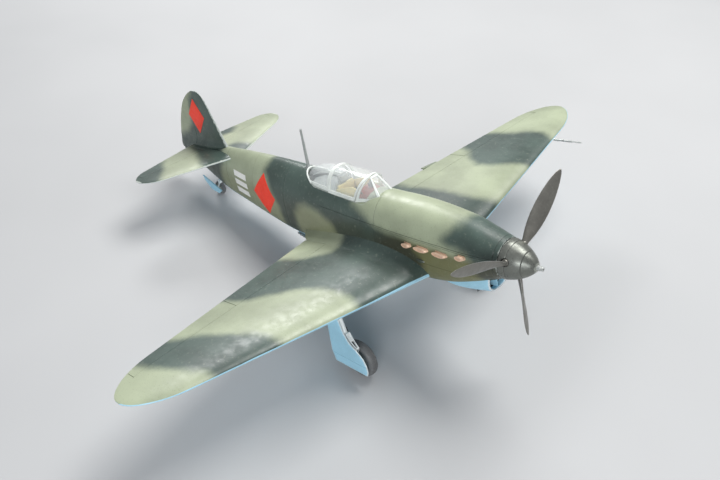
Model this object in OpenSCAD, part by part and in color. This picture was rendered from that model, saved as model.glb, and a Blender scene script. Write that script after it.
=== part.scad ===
// Plastic model of a single-seat, low-wing propeller fighter, 1:48, standing tail-down.
// Shapes are drawn in the aircraft frame: nose towards +X, port wing towards +Y, up +Z,
// origin at the spinner tip, stations counted aft from it. place() stands the model on
// its three wheels, with the middle of its outline over the origin.

/* [Size] */
// half of the wing span
half_span = 104.5; // [90:0.1:115]
// station of the rudder's rearmost edge
tail_station = 181; // [170:0.1:190]
// wall of the moulded fuselage halves
skin = 1.3; // [1:0.1:2]

/* [Wing] */
// leading edge station on the centre line
wing_le = 35.1; // [30:0.1:40]
// trailing edge station on the centre line
wing_te = 91.2; // [80:0.1:98]
// leading edge sweep, mm per mm of span
le_sweep = 0.1557; // [0.1:0.0005:0.25]
// trailing edge sweep, mm per mm of span
te_sweep = 0.2153; // [0.1:0.001:0.3]
// span station where the rounded tip starts
tip_start = 87.8; // [80:0.1:95]
// height of the wing plane on the centre line at station 62.5
wing_z = -12.6; // [-16:0.1:-10]
// dihedral in degrees
dihedral = 5.17; // [0:0.01:8]
// setting angle in degrees
incidence = 0.76; // [0:0.01:3]

/* [Tailplane] */
// half span of the tailplane
stab_half = 35.6; // [30:0.1:40]
// leading edge station on the centre line
stab_le = 139.1; // [130:0.1:150]
// trailing edge station on the centre line
stab_te = 169; // [160:0.1:175]
// height of the tailplane
stab_z = 4; // [2:0.1:6]

/* [Propeller] */
// radius of the propeller disc
prop_r = 30.5; // [25:0.1:33]
// station of the blade axes
prop_s = 7.4; // [6:0.1:8.5]
// clockwise angle of the first blade from the vertical
blade_phase = 53; // [0:1:119]
// radius of the spinner at its base
spinner_r = 6.35; // [5.5:0.05:7]
// length of the spinner
spinner_len = 9.3; // [8:0.1:11]
// radius of the propeller shaft
shaft_r = 1.2; // [0.8:0.05:1.6]
// radial clearance of every running fit
run_gap = 0.06; // [0.01:0.01:0.1]

/* [Undercarriage] */
// station of the main axle
main_s = 49.1; // [40:0.1:55]
// distance of the wheel middle from the centre line
main_y = 30.4; // [25:0.1:34]
// height of the main axle
main_z = -35.4; // [-40:0.1:-30]
// radius of the main tyre
main_r = 6.6; // [6:0.1:8]
// width of the main tyre
main_w = 3.6; // [3:0.1:5]
// station of the tail wheel axle
tail_s = 160.5; // [150:0.1:165]
// height of the tail wheel axle
tail_z = -15.5; // [-18:0.1:-13]
// radius of the tail wheel
tail_r = 3; // [2.5:0.1:4]

/* [Output] */
// sub-part to draw

/* [Hidden] */
$fn = 48;
axle_r = 0.8;
door_y = 34.2;
leg_y = 33.0;
sill_z = 6.1;
hood_w = 6.3;
hood_top = 14.2;
hood_wall = 0.55;
hood_front = 66.8;
hood_rear = 79.6;
rake = 0.45;
// the stance that puts all three tyres on the floor
run_x = tail_s - main_s;
rise = tail_z - main_z;
stance = asin((main_r - tail_r) / sqrt(run_x * run_x + rise * rise)) + atan(rise / run_x);
floor_z = -main_s * sin(stance) + main_z * cos(stance) - main_r;
centre_x = -87.775;

// ---- shared shape helpers ----

function blend(a, b, t) = a + (b - a) * t;
function find(tab, s, i = 0) = (i >= len(tab) - 2 || s < tab[i + 1][0]) ? i : find(tab, s, i + 1);
// smooth value of column c of a table at station s
function slope(tab, i, c) = i <= 0 ? (tab[1][c] - tab[0][c]) / (tab[1][0] - tab[0][0])
  : i >= len(tab) - 1 ? (tab[i][c] - tab[i - 1][c]) / (tab[i][0] - tab[i - 1][0])
  : (tab[i + 1][c] - tab[i - 1][c]) / (tab[i + 1][0] - tab[i - 1][0]);
function hermite(tab, i, c, h, t) =
  (2 * t * t * t - 3 * t * t + 1) * tab[i][c] + (t * t * t - 2 * t * t + t) * h * slope(tab, i, c)
  + (3 * t * t - 2 * t * t * t) * tab[i + 1][c] + (t * t * t - t * t) * h * slope(tab, i + 1, c);
function at(tab, s, c) = let (i = find(tab, s), h = tab[i + 1][0] - tab[i][0])
  hermite(tab, i, c, h, (s - tab[i][0]) / h);
function spow(v, p) = v < 0 ? -pow(-v, p) : pow(v, p);

function mid(r) = [for (k = [0:2]) r[0][k] + r[floor(len(r) / 3)][k] + r[floor(2 * len(r) / 3)][k]] / 3;
function total(v, i = 0) = i >= len(v) ? [0, 0, 0] : v[i] + total(v, i + 1);
function area_dir(r) = total([for (j = [0:len(r) - 1]) cross(r[j] - r[0], r[(j + 1) % len(r)] - r[0])]);

// closed solid from a list of rings with the same number of points each
module loft(rings) {
  n = len(rings[0]);
  m = len(rings);
  h = floor(m / 2);
  out = area_dir(rings[h]) * (mid(rings[m - 1]) - mid(rings[0])) > 0;
  sides = [for (i = [0:m - 2], j = [0:n - 1], k = [0:1]) let (a = i * n + j, b = i * n + (j + 1) % n)
    k == 0 ? (out ? [a, b + n, b] : [a, b, b + n]) : (out ? [a, a + n, b + n] : [a, b + n, a + n])];
  up = [for (j = [0:n - 1]) j];
  down = [for (j = [n - 1:-1:0]) j];
  ends = [out ? up : down, [for (j = out ? down : up) (m - 1) * n + j]];
  polyhedron([for (r = rings) each r], concat(sides, ends), convexity = 8);
}

// ---- fuselage ----

// station, half width, top, height of the widest point, bottom, upper and lower fullness
hull_tab = [
  [9.9, 6.3, 6.3, 0, -6.3, 2.0, 2.0],
  [13.8, 7.1, 7.2, -0.1, -8.3, 2.05, 2.1],
  [17.5, 7.6, 8.2, -0.3, -10.2, 2.1, 2.2],
  [23.3, 8.2, 9.5, -0.6, -12.5, 2.2, 2.3],
  [30.8, 8.5, 10.1, -1.0, -14.7, 2.3, 2.5],
  [38.5, 8.7, 10.4, -1.3, -16.0, 2.35, 2.7],
  [47.0, 8.8, 10.2, -1.7, -16.5, 2.35, 2.9],
  [55.2, 8.8, 9.6, -2.1, -16.6, 2.3, 3.0],
  [66.7, 8.8, 9.3, -2.6, -16.9, 2.2, 3.2],
  [79.2, 8.7, 9.3, -3.0, -17.4, 2.05, 3.4],
  [95.0, 8.5, 9.4, -3.2, -18.1, 1.85, 3.5],
  [105.2, 8.2, 9.3, -3.1, -17.9, 1.75, 3.5],
  [116.7, 7.6, 8.9, -2.9, -16.5, 1.7, 3.4],
  [129.2, 6.5, 8.1, -2.4, -15.0, 1.7, 3.2],
  [142.7, 5.0, 6.9, -1.7, -13.8, 1.75, 2.9],
  [151.0, 4.2, 6.2, -1.1, -12.3, 1.8, 2.7],
  [164.6, 2.4, 4.8, -0.4, -8.2, 1.9, 2.3],
  [173.0, 1.2, 3.2, 0, -5.6, 2.0, 2.1],
  [177.0, 0.7, 2.0, 0.2, -4.2, 2.0, 2.0]
];

function hull_ring(s, d, n = 36) = let (
    w = at(hull_tab, s, 1) + d, zt = at(hull_tab, s, 2) + d, zm = at(hull_tab, s, 3),
    zb = at(hull_tab, s, 4) - d, a = 2 / at(hull_tab, s, 5), b = 2 / at(hull_tab, s, 6))
  [for (i = [0:n - 1]) let (q = 360 * i / n, c = cos(q), k = c >= 0 ? a : b)
    [-s, w * spow(sin(q), k), zm + (c >= 0 ? zt - zm : zm - zb) * spow(c, k)]];

hull_stations = [9.9, 11.5, 13.5, 16, 19, 22.5, 26.5, 31, 36, 41.5, 47, 53, 60, 68, 76, 84, 92, 99,
  106, 113, 120, 127, 134, 140, 146, 151, 156, 161, 166, 170, 173.5, 176, 177];

module hull_body(d) {
  loft([for (s = hull_stations) hull_ring(s, d)]);
}

// inside of the moulding, open at the nose and closed at the tail
module hull_hollow() {
  loft([for (s = concat([9.2], [for (t = hull_stations) if (t > 10 && t < 160) t]))
    [for (p = hull_ring(max(s, 9.9), -skin)) [-s, p[1], p[2]]]]);
}

// height, front and rear station of fin and rudder
fin_tab = [
  [-7.6, 164, 170.6], [-6.2, 163, 174.9], [-4.2, 162, tail_station - 2.6], [-1.4, 160, tail_station - 0.5],
  [1.6, 158, tail_station], [6.0, 145.8, tail_station - 0.8], [9.4, 147.4, tail_station - 2.2],
  [13.1, 149.1, tail_station - 3.9], [16.8, 150.8, tail_station - 6], [20.5, 152.5, tail_station - 8.4],
  [22.8, 153.6, tail_station - 10.5], [24.9, 154.7, tail_station - 12.9], [26.4, 155.8, tail_station - 15.1],
  [27.4, 157.1, tail_station - 17], [28.0, 158.5, tail_station - 18.6], [28.25, 159.9, tail_station - 19.9]
];
function foil(x) = 5 * (0.2969 * sqrt(x) - 0.126 * x - 0.3516 * x * x + 0.2843 * x * x * x
  - 0.1015 * x * x * x * x);
fin_x = [0, 0.02, 0.07, 0.16, 0.3, 0.48, 0.66, 0.82, 0.93, 1];
module fin() {
  loft([for (f = fin_tab) let (c = f[2] - f[1], t = 0.075 * (1 - 0.35 * max(f[0], 0) / 28))
    concat([for (x = fin_x) [-(f[1] + x * c), 0.12 * sqrt(x) + t * c * foil(x), f[0]]],
      [for (i = [len(fin_x) - 1:-1:1]) let (x = fin_x[i])
        [-(f[1] + x * c), -0.12 * sqrt(x) - t * c * foil(x), f[0]]])]);
}

// cockpit opening, with a flat sill for canopy and windscreen
module opening(g = 0) {
  translate([0, 0, sill_z + g]) linear_extrude(20) offset(delta = -g) polygon([
    [-56.2, 2.4], [-60, 4.2], [-66.5, 9.4], [-93, 9.4], [-93, 5.1], [-89.6, 5.1], [-92.7, 3.7],
    [-94.5, 2.2], [-95.3, 0], [-94.5, -2.2], [-92.7, -3.7], [-89.6, -5.1], [-93, -5.1], [-93, -9.4],
    [-66.5, -9.4], [-60, -4.2], [-56.2, -2.4]]);
}

module shell_half(side) {
  resize([0, 0, 0]) difference() {
    intersection() {
      union() {
        hull_body(0);
        fin();
      }
      translate([-200, side > 0 ? 0.01 : -30.01, -40]) cube([200, 30, 80]);
    }
    hull_hollow();
    opening();
    belly_cut(0.06);
    stab_slot();
    tail_well();
    for (e = exhausts) exhaust_stub(e, side, 0.06);
  }
}
module fuselage_left() {
  color("#6f7a66") shell_half(1);
}
module fuselage_right() {
  color("#6f7a66") shell_half(-1);
}
// slots in the tail sides that take the tailplane tongues
module stab_slot() {
  translate([-163, -10, stab_z - 0.55]) cube([18, 20, 1.1]);
}
// opening under the tail for the tail wheel
module tail_well() {
  translate([-164, -2.1, -16]) cube([14, 4.2, 11]);
}

// ---- wing ----

function w_le(y) = wing_le + le_sweep * y;
function w_te(y) = wing_te - te_sweep * y + 5.5 * pow(max(0, 1 - (y - 8) / 5.7), 0.8);
function w_round(y) = y <= tip_start ? 1
  : sqrt(max(0, 1 - pow((y - tip_start) / (half_span - tip_start), 2.35)));
function w_s(y, x) = let (m = (w_le(y) + w_te(y)) / 2, h = (w_te(y) - w_le(y)) / 2)
  m + h * w_round(y) * (2 * x - 1);
function w_chord(y) = (w_te(y) - w_le(y)) * w_round(y);
function w_thick(y) = w_chord(y) * blend(0.145, 0.09, y / half_span);
// fairing that swells the upper skin beside the fuselage
function w_swell(y, x) = 2.9 * pow(max(0, 1 - (y - 7) / 8.5), 1.7) * sin(180 * pow(min(1, x * 1.02), 0.62));
function w_plane(y, s) = wing_z + y * tan(dihedral) + (62.5 - s) * tan(incidence);
function w_top(y, x) = 0.1 * sqrt(x) + 1.15 * w_thick(y) * foil(x) + w_swell(y, x);
function w_low(y, x) = 0.1 * sqrt(x) + 0.85 * w_thick(y) * foil(x);
span_list = [7.2, 8, 9.5, 11, 12.5, 13.7, 15, 18, 25, 34, 45, 56, 67, 78, 84.5, 87.8, 91, 94, 96.7, 99, 100.8,
  102.2, 103.3, 104, half_span - 0.12];
chord_list = [0, 0.008, 0.03, 0.07, 0.13, 0.21, 0.31, 0.43, 0.56, 0.7, 0.83, 0.93, 1];

function upper_ring(y, side) = concat(
  [for (x = chord_list) let (s = w_s(y, x)) [-s, side * y, w_plane(y, s) + w_top(y, x)]],
  [let (s = w_s(y, 1)) [-s, side * y, w_plane(y, s) + 0.01],
    let (s = w_s(y, 0)) [-s, side * y, w_plane(y, s)]]);
function lower_ring(y, side) = concat(
  [let (s = w_s(abs(y), 0)) [-s, y, w_plane(abs(y), s) - 0.02],
   let (s = w_s(abs(y), 1)) [-s, y, w_plane(abs(y), s) - 0.01]],
  [for (i = [len(chord_list) - 1:-1:0]) let (x = chord_list[i], s = w_s(abs(y), x))
    [-s, y, w_plane(abs(y), s) - 0.03 - w_low(abs(y), x)]]);

module wing_upper(side) {
  rings = [for (y = span_list) upper_ring(y, side)];
  resize([0, 0, 0]) difference() {
    loft(rings);
    hull_body(0.06);
  }
}
module wing_upper_left() {
  color("#8d9a7c") wing_upper(1);
}
module wing_upper_right() {
  color("#8d9a7c") wing_upper(-1);
}

// the part of the fuselage underside that is moulded with the lower wing
module belly_cut(g) {
  difference() {
    translate([-92 - g, -12, -24]) cube([49 + 2 * g, 24, 12.6 + g]);
    translate([-92 - 2 * g, -13, -11.4]) cube([50 + 4 * g, 26, 4]);
  }
}
module wing_lower() {
  ys = concat([for (i = [len(span_list) - 1:-1:0]) -span_list[i]], [-3, 0, 3], span_list);
  color("#8fb6cc") resize([0, 0, 0]) difference() {
    union() {
      loft([for (y = ys) lower_ring(y, 1)]);
      intersection() {
        hull_body(0);
        belly_cut(0);
      }
    }
    // the fuselage halves stand in front of and behind the centre section
    intersection() {
      hull_body(0.06);
      translate([-43.06, -12, -24]) cube([12, 24, 24]);
    }
    intersection() {
      hull_body(0.06);
      translate([-104, -12, -24]) cube([11.94, 24, 24]);
    }
    intersection() {
      hull_body(0.06);
      translate([-93, -12, -11.34]) cube([60, 24, 12]);
    }
    well(1);
    well(-1);
  }
}
// wheel well in the lower skin, for leg and wheel
module well(side) {
  translate([-(main_s + 3.8), side * 15, -24]) cylinder(r = 7.2, h = 10.9);
  translate([-(main_s + 8.6), side > 0 ? 17 : -35.2, -24]) cube([7.2, 18.2, 16]);
}

// ---- tailplane ----

function t_le(y) = stab_le + 0.412 * y;
function t_te(y) = stab_te - 0.116 * y;
function t_round(y) = y <= 28.5 ? 1 : sqrt(max(0, 1 - pow((y - 28.5) / (stab_half - 28.5), 2.2)));
function t_s(y, x) = let (m = (t_le(y) + t_te(y)) / 2, h = (t_te(y) - t_le(y)) / 2)
  m + h * t_round(y) * (2 * x - 1);
function t_half(y, x) = 0.1 * sqrt(x) + (t_te(y) - t_le(y)) * t_round(y) * 0.075 * foil(x);
stab_list = [2, 5, 9, 14, 20, 25, 28.5, 30.3, 31.9, 33.3, 34.4, 35.1, stab_half - 0.08];
module stabiliser(side) {
  rings = [for (y = stab_list) concat(
    [for (x = fin_x) [-t_s(y, x), side * y, stab_z + t_half(y, x)]],
    [for (i = [len(fin_x) - 1:-1:1]) [-t_s(y, fin_x[i]), side * y, stab_z - t_half(y, fin_x[i])]])];
  resize([0, 0, 0]) union() {
    difference() {
      loft(rings);
      hull_body(0.04);
      translate([-200, -1.6, -5]) cube([60, 3.2, 30]);
    }
    // tongue seated in the slot of the fuselage
    translate([-162.6, side > 0 ? 2.4 : -5.4, stab_z - 0.5]) cube([10, 3, 1]);
  }
}
module stabiliser_left() {
  color("#8d9a7c") stabiliser(1);
}
module stabiliser_right() {
  color("#8d9a7c") stabiliser(-1);
}

// ---- nose ----

// station, half length and height of each exhaust stub
exhausts = [[21.0, 1.5, 0.6], [28.6, 2.8, -0.5], [36.0, 2.8, -0.9], [41.9, 1.6, -1.2]];
module exhaust_stub(e, side, g) {
  w = at(hull_tab, e[0], 1);
  loft([for (k = [[6.2, -0.6], [w - 0.4, 0], [w + 0.7, 0.5], [w + 1.1, 0.8]])
    [for (q = [0:30:330]) [-(e[0] + k[1] + (e[1] + g) * cos(q)), side * (k[0] + (k[1] < 0 ? -g : g)),
      e[2] + (0.8 + g) * sin(q)]]]);
}
module exhaust_stacks(side) {
  color("#b98a6d") resize([0, 0, 0]) union() {
    for (e = exhausts) exhaust_stub(e, side, 0);
    translate([-44, side > 0 ? 5.6 : -6.4, -2.2]) cube([25, 0.8, 3.4]);
  }
}
module exhaust_stacks_left() {
  exhaust_stacks(1);
}
module exhaust_stacks_right() {
  exhaust_stacks(-1);
}

// small scoops on the cowling sides below the exhausts
module breather_scoops() {
  color("#8d9a7c") resize([0, 0, 0]) difference() {
    for (m = [-1, 1]) loft([for (k = [[7.6, 1], [8.9, 0.95], [9.5, 0.7], [9.8, 0.3]])
      [for (q = [0:30:330]) [-(37.7 + (9.8 - k[0]) * 0.25 + 1.7 * k[1] * cos(q)), m * k[0],
        -5.8 + 0.85 * k[1] * sin(q)]]]);
    hull_body(0.03);
  }
}

// station, half width, bottom, middle height
chin_tab = [[14.2, 4.9, -12.5, -8.4], [17, 5.2, -13.2, -9], [21, 5.3, -14.2, -10], [26, 5.0, -15.2, -11.6],
  [31, 4.2, -15.8, -13], [36, 2.6, -16.1, -14.4]];
module chin_duct(d, last) {
  loft([for (i = [0:last]) let (c = chin_tab[i]) [for (q = [0:15:345])
    [-(c[0] + (d < 0 ? (i == 0 ? -0.5 : 0) : 0)), (c[1] + d) * spow(cos(q), 0.85),
      c[3] + (c[3] - c[2] + d) * spow(sin(q), 0.85)]]]);
}
module chin_intake() {
  color("#8fb6cc") resize([0, 0, 0]) difference() {
    chin_duct(0, 5);
    chin_duct(-0.7, 2);
    hull_body(0.04);
  }
}
module chin_cooler_core() {
  color("#3a3c3c") resize([0, 0, 0]) difference() {
    intersection() {
      chin_duct(-0.76, 2);
      translate([-20.8, -8, -20]) cube([1.6, 16, 20]);
    }
    hull_body(0.08);
  }
}

module nose_bulkhead() {
  color("#6f7a66") translate([-14.4, 0, 0]) rotate([0, 90, 0]) difference() {
    cylinder(r = 5.3, h = 1.2);
    translate([0, 0, -1]) cylinder(r = 2.03, h = 4);
  }
}
module shaft_bushing() {
  color("#b9a25e") translate([-16, 0, 0]) rotate([0, 90, 0]) difference() {
    union() {
      cylinder(r = 2.0, h = 5.7);
      cylinder(r = 2.9, h = 1.55);
    }
    translate([0, 0, -1]) cylinder(r = shaft_r + run_gap, h = 8);
  }
}

// ---- propeller ----

module prop_shaft() {
  color("#9a9a98") translate([-19, 0, 0]) rotate([0, 90, 0]) cylinder(r = shaft_r, h = 13.4);
}
module shaft_collar() {
  color("#9a9a98") translate([-17.7, 0, 0]) rotate([0, 90, 0]) difference() {
    cylinder(r = 2.3, h = 1.4);
    translate([0, 0, -1]) cylinder(r = shaft_r + 0.01, h = 4);
  }
}
module prop_hub() {
  color("#4a4f4c") translate([-9.3, 0, 0]) rotate([0, 90, 0]) difference() {
    cylinder(r = 2.6, h = 4.6);
    translate([0, 0, -1]) cylinder(r = shaft_r + 0.01, h = 4.8);
  }
}
module spinner() {
  color("#5a6159") difference() {
    rotate([0, 90, 0]) rotate_extrude($fn = 72) polygon([
      [0.79, 0], [1.2, -0.1], [2.0, -0.7], [2.95, -1.7], [3.85, -2.9], [4.7, -4.3], [5.4, -5.8],
      [5.95, -7.4], [6.25, -8.6], [spinner_r, -spinner_len], [5.3, -spinner_len], [4.9, -7.0],
      [4.2, -5.4], [3.2, -3.9], [2.0, -2.6], [0.79, -1.7]]);
    for (k = [0:2]) translate([-prop_s, 0, 0]) rotate([-blade_phase - 120 * k, 0, 0])
      cylinder(r = 1.3, h = 9);
  }
}
module spinner_backplate() {
  color("#4a4f4c") translate([-spinner_len - 0.33, 0, 0]) rotate([0, 90, 0]) difference() {
    cylinder(r = spinner_r - 0.15, h = 0.3);
    translate([0, 0, -1]) cylinder(r = shaft_r + 0.01, h = 4);
  }
}
module cannon_muzzle() {
  color("#a5a7a3") translate([-2.4, 0, 0]) rotate([0, 90, 0]) difference() {
    union() {
      cylinder(r = 0.78, h = 3.4);
      cylinder(r = 0.62, h = 4.3);
    }
    translate([0, 0, 2.2]) cylinder(r = 0.36, h = 3);
  }
}
// radius, half chord, thickness, pitch in degrees
blade_tab = [[5.2, 0.85, 1.5, 62], [7.5, 1.35, 1.35, 55], [10, 1.95, 1.2, 47], [13, 2.45, 1.05, 40],
  [16.5, 2.75, 0.9, 34], [20, 2.75, 0.78, 29], [23.5, 2.45, 0.66, 25.5], [26.5, 1.9, 0.54, 23],
  [28.6, 1.25, 0.42, 21.5], [29.8, 0.7, 0.32, 21], [30.45, 0.22, 0.22, 20.5]];
module prop_blade(k) {
  color("#4b4d4b") translate([-prop_s, 0, 0]) rotate([-blade_phase - 120 * k, 0, 0]) union() {
    translate([0, 0, 2.63]) cylinder(r = 0.85, h = 3.4);
    loft([for (b = blade_tab) [for (q = [0:30:330]) let (u = b[1] * cos(q), v = b[2] / 2 * sin(q)
      * (sin(q) < 0 ? 0.5 : 1.3), p = b[3])
      [u * sin(p) + v * cos(p), u * cos(p) - v * sin(p), b[0] * prop_r / 30.5]]]);
  }
}
module prop_blade_1() {
  prop_blade(0);
}
module prop_blade_2() {
  prop_blade(1);
}
module prop_blade_3() {
  prop_blade(2);
}

// ---- belly radiator ----

rad_tab = [[70, 3.0, -18.0], [73, 5.2, -20.6], [79, 6.0, -21.9], [87, 6.0, -22.2], [95, 5.6, -21.6],
  [101, 5.0, -20.3], [105, 4.5, -19.2]];
module rad_duct(d, a, b) {
  loft([for (i = [a:b]) let (c = rad_tab[i]) [for (q = [0:15:345])
    [-c[0], (c[1] + d) * spow(cos(q), 0.7), -15.5 + (-15.5 - c[2] + d) * spow(sin(q), 0.75)]]]);
}
module belly_radiator() {
  color("#8fb6cc") resize([0, 0, 0]) difference() {
    rad_duct(0, 1, 5);
    rad_duct(-0.7, 0, 2);
    rad_duct(-0.7, 4, 6);
    hull_body(0.05);
  }
}
module radiator_core() {
  color("#3a3c3c") resize([0, 0, 0]) difference() {
    intersection() {
      rad_duct(-0.76, 0, 2);
      translate([-78.9, -8, -24]) cube([1.6, 16, 8]);
    }
    hull_body(0.1);
  }
}
module radiator_flap() {
  color("#b9c0bd") resize([0, 0, 0]) difference() {
    translate([-101.1, 0, -20.1]) rotate([0, 14, 0]) translate([-4.4, -4.7, 0]) cube([4.3, 9.4, 0.5]);
    hull_body(0.05);
  }
}

// ---- cockpit ----

module cockpit_tub() {
  color("#7d8377") union() {
    translate([-88, -5.2, -9]) cube([27, 10.4, 1]);
    translate([-61.9, -5.2, -8.5]) cube([0.9, 10.4, 8.5]);
    translate([-88, -4.6, -8.5]) cube([0.9, 9.2, 13.4]);
  }
}
module pilot_seat() {
  color("#e5d9a8") resize([0, 0, 0]) union() {
    translate([-76, -3.4, -5]) cube([7, 6.8, 0.8]);
    translate([-76, -3.4, -4.4]) rotate([0, -8, 0]) cube([0.9, 6.8, 12.4]);
    for (m = [-1, 1]) translate([-76, m * 3.4 - 0.3, -5]) cube([6, 0.6, 3.2]);
    for (a = [-75, -70.4], b = [-2.6, 2]) translate([a, b, -7.96]) cube([0.6, 0.6, 3.2]);
  }
}
module seat_armour() {
  color("#6b706a") resize([0, 0, 0]) translate([-78.4, 0, 0]) union() {
    translate([0, -3.6, -7.96]) cube([0.6, 7.2, 16.6]);
    translate([0, -2.1, 8]) cube([0.6, 4.2, 3.4]);
    translate([0.55, -1.5, 8.6]) cube([0.8, 3, 2.2]);
  }
}
module instrument_panel() {
  color("#8a3d2c") resize([0, 0, 0]) difference() {
    union() {
      translate([-65.2, -4.9, -1.5]) cube([0.8, 9.8, 7.4]);
      loft([for (k = [[60.4, 2.2, 7.6], [62, 3.3, 8.8], [64, 4.3, 9.6], [66.4, 4.6, 9.9]])
        [for (q = [0:20:340]) [-k[0], k[1] * spow(cos(q), 0.8), 5.8 + (k[2] - 5.8) * max(-0.25, sin(q))]]]);
    }
    difference() {
      translate([-67, -3.7, -3]) cube([1.8, 7.4, 11.6]);
      for (a = [[-3.2, 1], [-1.1, 1], [1.1, 1], [3.2, 1], [-2.2, 3.4], [0, 3.4], [2.2, 3.4]])
        translate([-65.5, a[0], a[1]]) rotate([0, 90, 0]) cylinder(r = 0.8, h = 0.5, $fn = 20);
    }
  }
}
module gunsight() {
  color("#2a2c2b") union() {
    translate([-65, -0.8, 10]) cube([1.8, 1.6, 1.1]);
    translate([-64.1, 0, 11.11]) cylinder(r = 0.45, h = 0.35);
  }
  color("#cfd6d3") translate([-64.4, -0.6, 11.5]) rotate([0, 30, 0]) cube([0.15, 1.2, 1.2]);
}
module control_stick() {
  color("#2a2c2b") union() {
    translate([-68.2, 0, -7.96]) cylinder(r = 0.9, h = 0.6);
    translate([-68.2, 0, -7.5]) cylinder(r = 0.35, h = 7.6);
    translate([-68.2, 0, 0.6]) rotate([90, 0, 0]) difference() {
      cylinder(r = 1.1, h = 0.5, center = true);
      cylinder(r = 0.7, h = 1, center = true);
    }
  }
}
module rudder_pedals() {
  color("#6b706a") union() {
    translate([-64.2, -3, -7.96]) cube([0.6, 6, 0.5]);
    for (m = [-1, 1]) translate([-64.2, m * 2.2 - 0.8, -7.7]) cube([0.6, 1.6, 3]);
  }
}
module side_console(side) {
  color("#e5d9a8") union() {
    translate([-74, side > 0 ? 4 : -5.5, -7.94]) cube([8, 1.5, 8.6]);
    translate([-73, side > 0 ? 3.8 : -4.4, -1.74]) cube([4.6, 0.6, 1.4]);
    translate([0, side > 0 ? 4.15 : -3.75, 0]) rotate([90, 0, 0]) linear_extrude(0.4)
      polygon([[-73.6, -4], [-67, -4], [-67.3, 9.6], [-69.5, 10], [-77.6, 7], [-77.6, 5.4], [-73.6, 3]]);
  }
}
module side_console_left() {
  side_console(1);
}
module side_console_right() {
  side_console(-1);
}
module rear_deck() {
  color("#7d8377") linear_height(5, 0.8) polygon([[-79, 4.5], [-88, 4.3], [-91.5, 3.2], [-93, 0],
    [-91.5, -3.2], [-88, -4.3], [-79, -4.5]]);
}
module linear_height(z, h) {
  translate([0, 0, z]) linear_extrude(h) children();
}

// ---- canopy ----

arch_n = 2.3;
function arch(w, h, q) = [w * spow(cos(q), 2 / arch_n), h * spow(sin(q), 2 / arch_n)];
arch_q = [0:15:180];
// closed section of a thin arch standing on the sill
function arch_ring(w, top, t, s0, lean, z0) = concat(
  [for (q = arch_q) let (a = arch(w, top - z0, q)) [-(s0 - lean * a[1]), a[0], z0 + a[1]]],
  [for (i = [len([for (q = arch_q) q]) - 1:-1:0]) let (q = 15 * i, a = arch(w - t, top - z0 - t, q))
    [-(s0 - lean * a[1]), a[0], z0 + a[1]]]);

module canopy_hood() {
  z0 = sill_z + 0.2;
  color("#c9d3d1") resize([0, 0, 0]) union() {
    loft([arch_ring(hood_w, hood_top, hood_wall, hood_front, rake, z0),
      arch_ring(hood_w, hood_top, hood_wall, hood_rear, 0, z0)]);
  }
}
module rear_glazing() {
  z0 = sill_z + 0.04;
  color("#c9d3d1") resize([0, 0, 0]) difference() {
    loft([for (k = [[79.9, 5.4, 13.3], [83, 5.35, 13.1], [86, 5.2, 12.7], [89, 4.95, 12.1], [92, 4.4, 10.9],
      [95.3, 3.6, 9.3]]) arch_ring(k[1], k[2], 0.55, k[0], 0, z0)]);
    difference() {
      hull_body(0.04);
      opening(0.01);
    }
  }
}
module pts_hull(p) {
  hull() for (a = p) translate(a) cube(0.01, center = true);
}
module windscreen() {
  z0 = sill_z + 0.04;
  front = hood_front - 0.25;
  outer = concat([for (m = [-1, 1]) each [[-56.8, m * 3.45, 7.6], [-62.4, m * 1.5, 14.4]]],
    [for (q = arch_q) let (a = arch(hood_w, hood_top - z0, q)) [-(front - rake * a[1]), a[0], z0 + a[1]]]);
  inner = concat(
    [for (m = [-1, 1]) each [[-57.6, m * 3.0, 6.6], [-57.6, m * 3.0, 4], [-62.9, m * 1.2, 13.8]]],
    [for (q = arch_q) let (a = arch(hood_w - 0.55, hood_top - 0.55 - z0, q))
      [-(front + 0.4 - rake * a[1]), a[0], z0 + a[1]]],
    [for (m = [-1, 1]) [-front - 0.4, m * (hood_w - 0.55), 4]]);
  color("#c9d3d1") resize([0, 0, 0]) difference() {
    pts_hull(outer);
    pts_hull(inner);
    difference() {
      hull_body(0.04);
      opening(0.01);
    }
    translate([-80, -10, -10]) cube([30, 20, z0 + 10]);
  }
}

// ---- small fittings ----

module antenna_mast() {
  color("#8e9391") resize([0, 0, 0]) difference() {
    union() {
      translate([-96, 0, 8.6]) cylinder(r1 = 0.62, r2 = 0.36, h = 15.6, $fn = 16);
      translate([-96, 0, 8.6]) cylinder(r1 = 1.3, r2 = 0.6, h = 1.5, $fn = 16);
    }
    hull_body(0.03);
  }
}
module pitot_tube() {
  color("#b9c0bd") translate([-47.7, 81.3, -5.35]) rotate([0, 84.5, 0]) union() {
    cylinder(r = 0.42, h = 8.2);
    cylinder(r = 0.28, h = 12.1);
  }
}
module aileron_tab() {
  color("#8d9a7c") translate([0, 0, w_plane(47, 81) - 0.2])
    linear_extrude(0.4) polygon([[-(w_te(43.5) + 0.05), 43.5], [-(w_te(43.5) + 1.3), 43.5],
    [-(w_te(50.5) + 1.3), 50.5], [-(w_te(50.5) + 0.05), 50.5]]);
}

// ---- undercarriage ----

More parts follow.
